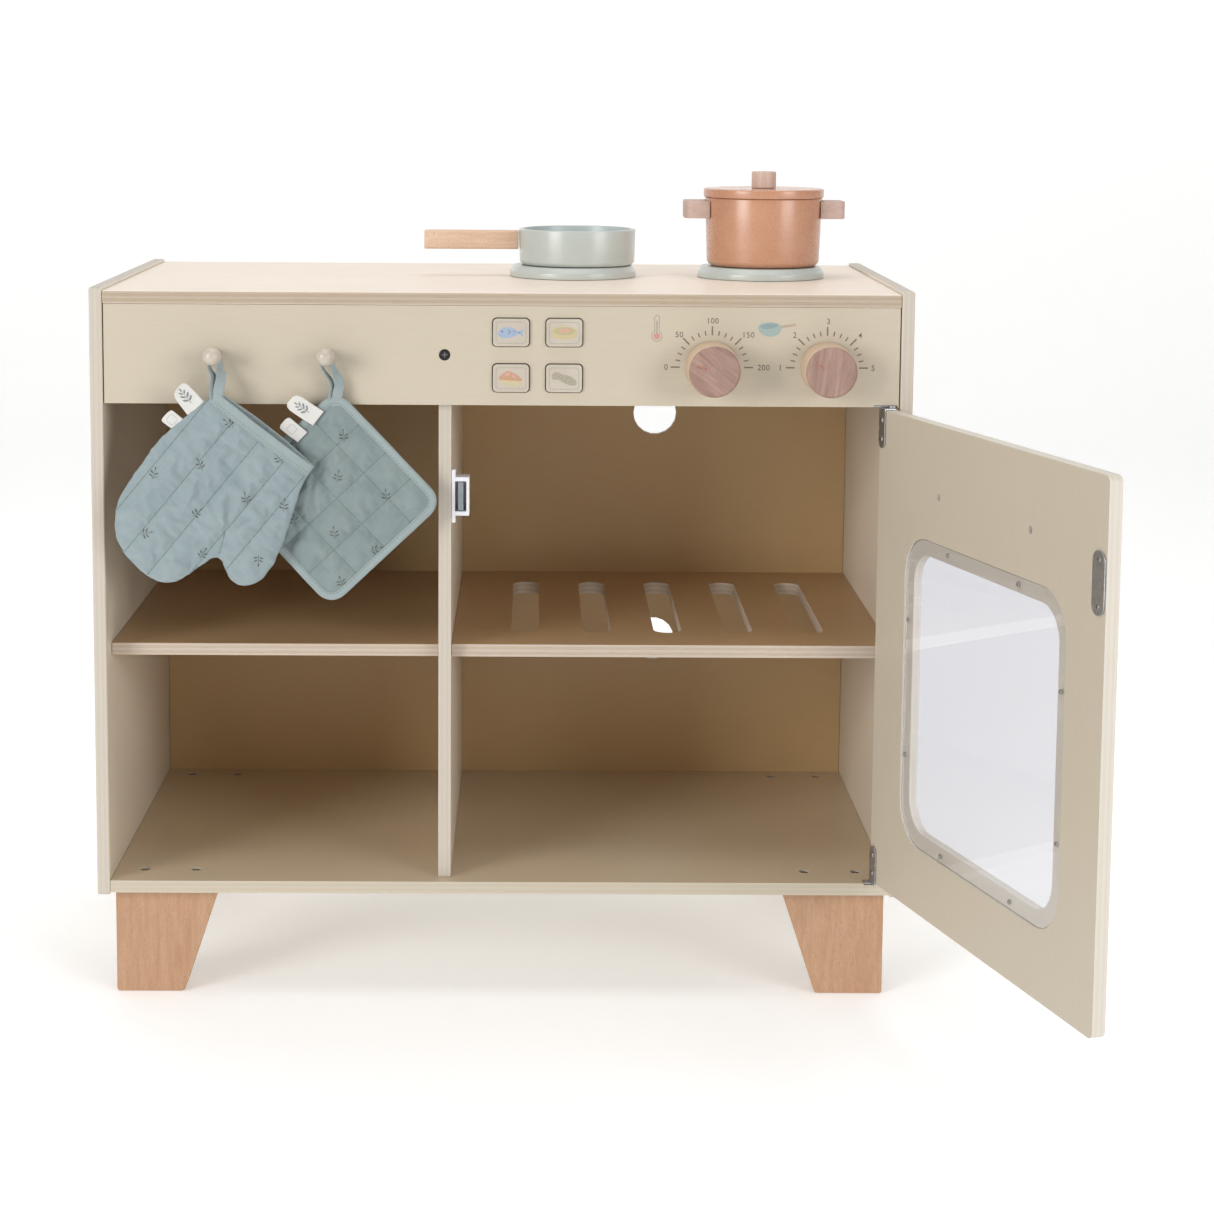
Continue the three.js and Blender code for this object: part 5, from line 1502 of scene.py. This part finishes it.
def build_holder():
    pts, tris, rim, seam = quilt_mesh(HOLD, hold_seams)
    P = np.array(pts)
    ring = set(rim)
    dist = rim_distance(P, HOLD)
    mid = holder_mid(P[:, 0], P[:, 1])
    near = line_distance(P, hold_seams)
    soft = (1 - np.exp(-dist / 4.0)) * (1 - 0.75 * np.exp(-(near / 3.4) ** 2))
    folds = fan(P, (-141.0, 420.0), -1.75, 0.9, 3.2, 46, 2.7, 9) + fan(P, (-127.0, 468.0), -1.5, 1.1, 3.0, 34, 1.9, 6) + ripple(P, 15, 1.2) + pucker(P, hold_seams, 0.8, seed=4)
    folds = np.clip(folds * (1 - np.exp(-dist / 5.0)) * (0.3 + 0.7 * np.clip(near / 5, 0, 1)), -2.2, 2.2)
    f = mid - 2.0 * soft - 0.15 + folds
    b = mid + 1.4 * soft + 0.15 + np.clip(folds, 0, 3)
    verts = [(x, mid[i] if i in ring else (mid[i] - 0.4 if i in seam else f[i]), z) for i, (x, z) in enumerate(P)]
    back_id = {}
    for i, (x, z) in enumerate(P):
        if i in ring:
            back_id[i] = i
        else:
            back_id[i] = len(verts)
            verts.append((x, mid[i] + 0.4 if i in seam else max(b[i], f[i] + 0.8), z))
    faces = []
    for t in tris:
        a, c, d = [Vector((P[i][0], P[i][1], 0)) for i in t]
        tf = t if (c - a).cross(d - a).z > 0 else tuple(reversed(t))
        faces.append(tuple(tf))
        faces.append(tuple(back_id[i] for i in reversed(tf)))
    pinned = {}
    for i in ring | seam:
        pinned[i] = 1.0
        pinned[back_id[i]] = 1.0
    co, mx = inflate("holder", verts, faces, pinned, 3.2, 2.4, -0.075, stiff=(12, 12, 4, 0.3))
    print("holder moved", round(mx, 2), "mm before the cap", len(verts), "points")
    co[:, 1] = np.clip(co[:, 1], -10.9, 0.6 + 6.5 * np.clip((-138 - co[:, 0]) / 40, 0, 1))
    # inside the bound edge the pad is pressed thin
    room = 1.25 + 7.0 * np.clip((dist - 5.5) / 9.0, 0, 1)
    for i in range(len(P)):
        co[i][1] = min(max(co[i][1], mid[i] - room[i]), mid[i] + room[i])
        j = back_id[i]
        co[j][1] = min(max(co[j][1], mid[i] - room[i]), mid[i] + room[i])
    o = new_object("pot_holder_quilted", [V(*c) for c in co], faces, CLOTH_H)
    sub = o.modifiers.new("sub", "SUBSURF")
    sub.levels = sub.render_levels = 1
    finish_piece(o, "holder", ("pot_holder",))
    return o


holder = build_holder()
hold_tree = surface_tree(holder)
stitches("holder_quilt_stitching", hold_tree, hold_seams, "holder", SEAM_T)
# a dark strip along each seam of the holder: painted shade
painted_seam_shade("holder_quilt_painted_seam_shade", hold_tree, hold_seams, "holder", SEAM_PAINTED_SHADE)

# the bound edge: tape folded round the rim
edge_in = [np.array(p) for p in resample([tuple(h_point(u, w)) for u, w in rrect(0, 0, HS - 6.2, HS - 6.2, HR - 2.8, 12)], 2.0, closed=True)]
ne = len(edge_in)
verts, faces = [], []
shape = [(3.1, 0), (2.9, 1.0), (2.2, 1.75), (1.0, 2.15), (-1.0, 2.2), (-2.6, 2.05), (-3.1, 1.75), (-3.2, 1.2), (-3.2, -1.2), (-3.1, -1.75), (-2.6, -2.05), (-1.0, -2.2), (1.0, -2.15), (2.2, -1.75), (2.9, -1.0)]
m_ = len(shape)
lr = np.random.RandomState(3)
puck = lr.uniform(-1, 1, ne)
puck = (puck + np.roll(puck, 1) + np.roll(puck, -1)) / 3
for i, p in enumerate(edge_in):
    t = edge_in[(i + 1) % ne] - edge_in[i - 1]
    t /= np.linalg.norm(t)
    out_ = np.array([t[1], -t[0]])
    if out_ @ (p - HC) < 0:
        out_ = -out_
    y = float(holder_mid(p[0], p[1]))
    for a, b in shape:
        kk = 1 + 0.05 * puck[i]
        q = p + out_ * (a + 0.08 * puck[i])
        verts.append(V(q[0], y + b * kk, q[1]))
for i in range(ne):
    j = (i + 1) % ne
    for k in range(m_):
        kk = (k + 1) % m_
        faces.append((i * m_ + k, i * m_ + kk, j * m_ + kk, j * m_ + k))
binding = new_object("holder_bound_edge", verts, faces, BAND_M)
finish_piece(binding, "holder")
sb = binding.modifiers.new("sub", "SUBSURF")
sb.levels = sb.render_levels = 1
bind_tree = surface_tree(binding)
row = [tuple(h_point(u, w)) for u, w in rrect(0, 0, HS - 6.2 - 3.6, HS - 6.2 - 3.6, HR - 4.4, 10)]
row.append(row[0])
stitches("holder_edge_stitching", bind_tree, [row], "holder", THREAD, pitch=2.8, length=2.0, radius=0.19)

# --- hanging straps: folded tape over the pegs
def tape(name, keys, body, half_w=3.9, half_t=0.55, per=8):
    """keys: (point mm, width direction) pairs; smooth between them."""
    P_ = [np.array(k[0], float) for k in keys]
    W_ = [np.array(k[1], float) / np.linalg.norm(k[1]) for k in keys]
    pts, wds = [], []
    n = len(P_)
    for i in range(n - 1):
        p0, p1, p2, p3 = P_[max(0, i - 1)], P_[i], P_[i + 1], P_[min(n - 1, i + 2)]
        for k in range(per):
            t = k / per
            pts.append(0.5 * ((2 * p1) + (-p0 + p2) * t + (2 * p0 - 5 * p1 + 4 * p2 - p3) * t * t + (-p0 + 3 * p1 - 3 * p2 + p3) * t ** 3))
            s = t * t * (3 - 2 * t)
            wds.append(W_[i] * (1 - s) + W_[i + 1] * s)
    pts.append(P_[-1])
    wds.append(W_[-1])
    st = []
    for i, p in enumerate(pts):
        t = pts[min(len(pts) - 1, i + 1)] - pts[max(0, i - 1)]
        t /= np.linalg.norm(t)
        w = wds[i] - t * (wds[i] @ t)
        w /= np.linalg.norm(w)
        nn = np.cross(t, w)
        st.append((V(*p), Vector(w) * (half_w / 1000), Vector(nn) * (half_t / 1000)))
    return strip(name, st, BAND_M, body)


PEG_Z = (mm("left_hook_peg")[4] + mm("left_hook_peg")[5]) / 2


def strap(name, peg_x, foot, body, yc, foot_y, lean):
    R = 3.2 + 0.75
    keys = []
    # right leg, face on at the foot, up to the peg
    keys.append(((foot[0] + 1.8, foot_y, foot[1] - 9.0), (0.92, 0.05, 0.30)))
    keys.append(((foot[0] + 2.2, foot_y + 0.2, foot[1] + 1.0), (0.92, 0.10, 0.30)))
    keys.append(((foot[0] + 3.4 + lean * 0.3, foot_y * 0.55 + yc * 0.45, foot[1] + 10.5), (0.80, 0.45, 0.2)))
    keys.append(((peg_x + 4.2, yc, PEG_Z - 9.0), (0.35, 0.95, 0.0)))
    keys.append(((peg_x + R, yc, PEG_Z + 0.2), (0.0, 1, 0)))
    for a in (30, 60, 90, 120, 150):
        keys.append(((peg_x + R * math.cos(math.radians(a)), yc, PEG_Z + R * math.sin(math.radians(a))), (0, 1, 0)))
    keys.append(((peg_x - R, yc, PEG_Z + 0.2), (0.0, 1, 0)))
    keys.append(((peg_x - 3.7, yc, PEG_Z - 9.0), (0.06, 0.99, 0.0)))
    keys.append(((foot[0] - 2.6 + lean * 0.2, foot_y * 0.4 + yc * 0.6, foot[1] + 11.0), (0.25, 0.95, 0.1)))
    keys.append(((foot[0] - 1.9, foot_y + 1.6, foot[1] + 1.0), (0.55, 0.75, 0.2)))
    keys.append(((foot[0] - 0.6, foot_y + 1.9, foot[1] - 7.0), (0.85, 0.45, 0.2)))
    return tape(name, keys, body)


strap("mitt_hanging_strap", -215.4, (-213.0, 476.0), "mitt", -7.6, -20.5, 1.0)
strap("holder_hanging_strap", -131.1, (-125.6, 471.5), "holder", -7.2, -7.0, 1.0)

# --- printed sprigs
def sprig(cx, cz, rot, size=7.5, open_=False):
    """A small twig of paired leaves."""
    k = size / 8.0
    c, s = math.cos(rot), math.sin(rot)

    def T(x, z):
        return (cx + (x * c - z * s) * k, cz + (x * s + z * c) * k)

    polys = []
    stem = [(-0.15, -4.0), (0.15, -4.0), (0.35, -1.0), (0.25, 3.2), (0.02, 3.2), (0.0, -1.0)]
    polys.append([T(*p) for p in stem])
    if open_:
        polys = [[T(*p) for p in ((-0.22, -4.3), (0.22, -4.3), (0.42, -1.2), (0.26, 3.0), (-0.14, 3.0), (0.0, -1.2))]]
        leaves = ((-2.05, -1.6, 2.75, 1.7, 0.62), (2.25, -1.9, 0.35, 1.75, 0.62), (-1.85, 1.0, 2.55, 1.6, 0.58), (2.1, 0.7, 0.6, 1.65, 0.60), (0.1, 4.3, 1.57, 1.4, 0.56))
    else:
        leaves = ((-1.35, -1.3, 2.45, 1.55, 0.55), (1.5, -1.6, 0.65, 1.5, 0.55), (-1.25, 0.9, 2.3, 1.5, 0.5), (1.45, 0.5, 0.8, 1.55, 0.55), (-0.95, 2.8, 2.1, 1.15, 0.42), (1.1, 2.6, 1.0, 1.2, 0.45), (0.12, 4.3, 1.57, 1.2, 0.42))
    for x, z, a, ln, w in leaves:
        n = 12
        lp = []
        for i in range(n):
            t = 2 * math.pi * i / n
            ex, ez = ln * math.cos(t), w * math.sin(t) * (1.0 if math.cos(t) < 0.6 else 0.7)
            lp.append(T(x + ex * math.cos(a) - ez * math.sin(a), z + ex * math.sin(a) + ez * math.cos(a)))
        polys.append(lp)
    return polys


MITT_SPRIGS = [(-202.8, 453.1, 0.9), (-224.4, 421.9, 0.5), (-259.2, 414.8, -0.3), (-190.1, 397.0, 0.2), (-227.4, 385.6, -0.9), (-265.2, 370.1, -1.3), (-181.4, 350.1, 3.1), (-223.4, 354.3, -0.6), (-166.0, 427.0, 0.6), (-162.5, 391.1, -0.1)]
polys = []
for x, z, r in MITT_SPRIGS:
    polys += sprig(x, z, r, 8.0, True)
projected("mitt_printed_sprigs", mitt_tree, polys, "mitt", SPRIG, fine=0.5)
HOLD_SPRIGS = [(-118.8, 441.8, 0.1), (-123.2, 411.3, -0.2), (-87.0, 396.7, 0.1), (-126.0, 368.4, 0.1), (-94.9, 355.4, -1.2), (-120.9, 330.6, 0.3), (-156.2, 377.9, 0.2), (-156.7, 438.2, 0.6)]
polys = []
for x, z, r in HOLD_SPRIGS:
    if inside(HOLD, x, z):
        polys += sprig(x, z, r, 8.0, True)
projected("holder_printed_sprigs", hold_tree, polys, "holder", SPRIG, fine=0.5)


def tag(name, corners, y_root, y_tip, body, curl=0.0, round_end=0.35):
    """A folded white ribbon sewn into an edge. corners: tip left, tip right, root right, root left, in X and Z."""
    a, b, c, d = [np.array(p, float) for p in corners]
    nu, nv = 22, 12
    top, bot = [], []
    for i in range(nu + 1):
        u = i / nu                                # 0 at the tip, 1 at the root
        tipw = 1.0
        if round_end and u < round_end:
            tipw = math.sqrt(max(0.0, 1 - ((round_end - u) / round_end) ** 2)) * 0.55 + 0.45
        for j in range(nv + 1):
            v = (j / nv - 0.5) * tipw + 0.5
            p = (a + (b - a) * v) * (1 - u) + (d + (c - d) * v) * u
            y = y_tip * (1 - u) + y_root * u + curl * math.sin(u * math.pi) + 0.15 * math.sin(u * 9 + v * 2)
            top.append((p[0], y - 0.42, p[1]))
            bot.append((p[0], y + 0.42, p[1]))
    verts = [V(*p) for p in top + bot]
    faces = []
    m2 = nv + 1
    off = len(top)
    for i in range(nu):
        for j in range(nv):
            q = (i * m2 + j, i * m2 + j + 1, (i + 1) * m2 + j + 1, (i + 1) * m2 + j)
            faces.append(q)
            faces.append(tuple(off + x for x in reversed(q)))
    ring = [j for j in range(m2)] + [i * m2 + nv for i in range(1, nu + 1)] + [nu * m2 + j for j in range(nv - 1, -1, -1)] + [i * m2 for i in range(nu - 1, 0, -1)]
    for k in range(len(ring)):
        x, y = ring[k], ring[(k + 1) % len(ring)]
        faces.append((x, x + off, y + off, y))
    o = new_object(name, verts, faces, TAG_M)
    bv = o.modifiers.new("b", "BEVEL")
    bv.width = 0.00018
    bv.segments = 2
    bv.limit_method = "ANGLE"
    finish_piece(o, body)
    return o


def tag_frame(corners):
    a, b, c, d = [np.array(p, float) for p in corners]
    mid = (a + b + c + d) / 4
    along = (c + d) / 2 - (a + b) / 2
    ln = np.linalg.norm(along)
    return mid, math.atan2(along[1], along[0]), ln, np.linalg.norm(b - a)


M_LEAF = [(-245.2, 474.2), (-236.0, 484.8), (-222.0, 468.8), (-233.4, 457.4)]
M_SMALL = [(-254.2, 454.8), (-246.2, 463.2), (-236.0, 454.0), (-243.8, 446.4)]
H_LEAF = [(-162.8, 464.2), (-154.0, 474.6), (-133.4, 460.6), (-141.6, 450.0)]
H_SMALL = [(-167.4, 448.6), (-160.0, 457.0), (-145.8, 444.8), (-153.0, 437.2)]
TAGS = [("mitt_leaf_tag", M_LEAF, -18.0, -21.5, "mitt", 0.6, 0.30), ("mitt_small_tag", M_SMALL, -18.0, -20.5, "mitt", 0.3, 0.16),
        ("holder_leaf_tag", H_LEAF, -9.6, -11.0, "holder", -0.8, 0.26), ("holder_small_tag", H_SMALL, -9.4, -10.6, "holder", -0.5, 0.14)]
for name, cs, yr, yt, body, curl, re_ in TAGS:
    o = tag(name, cs, yr, yt, body, curl, re_)
    tr = surface_tree(o)
    mid, ang, ln, wd = tag_frame(cs)
    if "leaf" in name:
        polys = sprig(mid[0] - 1.2 * math.cos(ang), mid[1] - 1.2 * math.sin(ang), ang + math.pi / 2 + math.pi * 0, size=wd * 0.86)
        projected(name + "_print", tr, polys, body, TAG_INK, lift=0.07, thick=0.06, fine=0.6)
    else:
        c0 = (mid[0] - 0.9 * math.cos(ang), mid[1] - 0.9 * math.sin(ang))
        rr = wd * 0.30
        ro, ri = rrect(0, 0, rr * 2, rr * 2, rr * 0.55, 4), rrect(0, 0, rr * 2 - 1.0, rr * 2 - 1.0, rr * 0.42, 4)
        ca, sa = math.cos(ang), math.sin(ang)

        def R(p):
            return (c0[0] + p[0] * ca - p[1] * sa, c0[1] + p[0] * sa + p[1] * ca)

        projected(name + "_print", tr, ring_poly([R(p) for p in ro], [R(p) for p in ri]), body, TAG_LINE, lift=0.07, thick=0.06, fine=0.5)

# ------------------------------------------------------------------ floor, light, camera
bm = bmesh.new()
S = 9.0
grid = 24
prof = []
for k in range(grid + 1):
    prof.append((-4.5 + 7.5 * k / grid, 0.0))
floor_v = []
me = bpy.data.meshes.new("studio_floor")
vs, fs = [], []
for y, z in prof + [(3.0 + 1.2 * math.sin(a), 1.2 - 1.2 * math.cos(a)) for a in np.linspace(0.1, math.pi / 2, 12)] + [(4.2, 1.2 + 0.6 * k) for k in range(1, 8)]:
    for x in (-6, 6):
        vs.append((x, y, z - 0.0004))
for i in range(len(vs) // 2 - 1):
    fs.append((2 * i, 2 * i + 1, 2 * i + 3, 2 * i + 2))
me.from_pydata(vs, [], fs)
floor = bpy.data.objects.new("studio_floor", me)
SCENE.collection.objects.link(floor)
for p in me.polygons:
    p.use_smooth = True
fm = Mat("pale_floor")
fv = fm.node("ShaderNodeVectorMath", {0: fm.tc.outputs["Object"], 3: 1.0}, operation="SCALE").outputs[0]
fm.set(Base_Color=fm.mix(fm.noise(fv, 2.0, 3.0), (0.93, 0.93, 0.93, 1), (0.95, 0.95, 0.95, 1)), Roughness=0.75)
fm.b.inputs["Specular IOR Level"].default_value = 0.2
fm.b.inputs["Emission Color"].default_value = (1, 1, 1, 1)
fm.b.inputs["Emission Strength"].default_value = GLOW
me.materials.append(fm.m)

world = bpy.data.worlds.new("studio")
SCENE.world = world
world.use_nodes = True
wt = world.node_tree
bg = wt.nodes["Background"]
bg.inputs[0].default_value = (1.0, 0.995, 0.985, 1)
bg.inputs[1].default_value = WORLD


def area(name, loc, target, size, energy, color=(1, 1, 1), size_y=None):
    d = bpy.data.lights.new(name, "AREA")
    d.shape = "RECTANGLE"
    d.size = size
    d.size_y = size_y or size
    d.energy = energy
    d.color = color
    o = bpy.data.objects.new(name, d)
    SCENE.collection.objects.link(o)
    o.location = loc
    o.rotation_mode = "QUATERNION"
    o.rotation_quaternion = (Vector(target) - Vector(loc)).to_track_quat("-Z", "Y")
    return o


mid = Vector((0, 0, 0.32))
area("key", (-3.75, -3.6, 1.5), mid, 2.2, KEY, (1, 0.995, 0.98))
area("fill", (3.75, -3.65, 1.4), mid, 2.2, FILL, (1, 0.995, 0.985))
area("top", (0.0, 0.1, 2.8), mid, 2.6, TOPL, (1, 1, 1))

cam_d = bpy.data.cameras.new("camera")
cam = bpy.data.objects.new("camera", cam_d)
SCENE.collection.objects.link(cam)
SCENE.camera = cam
cam_d.sensor_width = 36
cam_d.lens = 72.433
cam_d.shift_x = 0.0461
cam_d.shift_y = -0.1899
cam_d.dof.use_dof = False
cy, sy = math.cos(math.radians(-0.448)), math.sin(math.radians(-0.448))
cp, sp = math.cos(math.radians(-6.611)), math.sin(math.radians(-6.611))
A = np.array([[cy, sy, 0], [-sy, cy, 0], [0, 0, 1.0]])
B = np.array([[1, 0, 0], [0, cp, sp], [0, -sp, cp]])
M = B @ A
r0, r1, r2 = M
cr, sr = math.cos(math.radians(0.371)), math.sin(math.radians(0.371))
right, upv = cr * r0 + sr * r2, -sr * r0 + cr * r2
cam.matrix_world = Matrix.Translation(V(22.534, -1825.579, 698.46)) @ Matrix(((right[0], upv[0], -r1[0], 0), (right[1], upv[1], -r1[1], 0), (right[2], upv[2], -r1[2], 0), (0, 0, 0, 1)))
cam_d.clip_start, cam_d.clip_end = 0.05, 60

SCENE.view_settings.view_transform = "Standard"
SCENE.view_settings.look = "None"
SCENE.view_settings.exposure = 0.0
SCENE.view_settings.gamma = 1.0

bpy.context.view_layer.update()
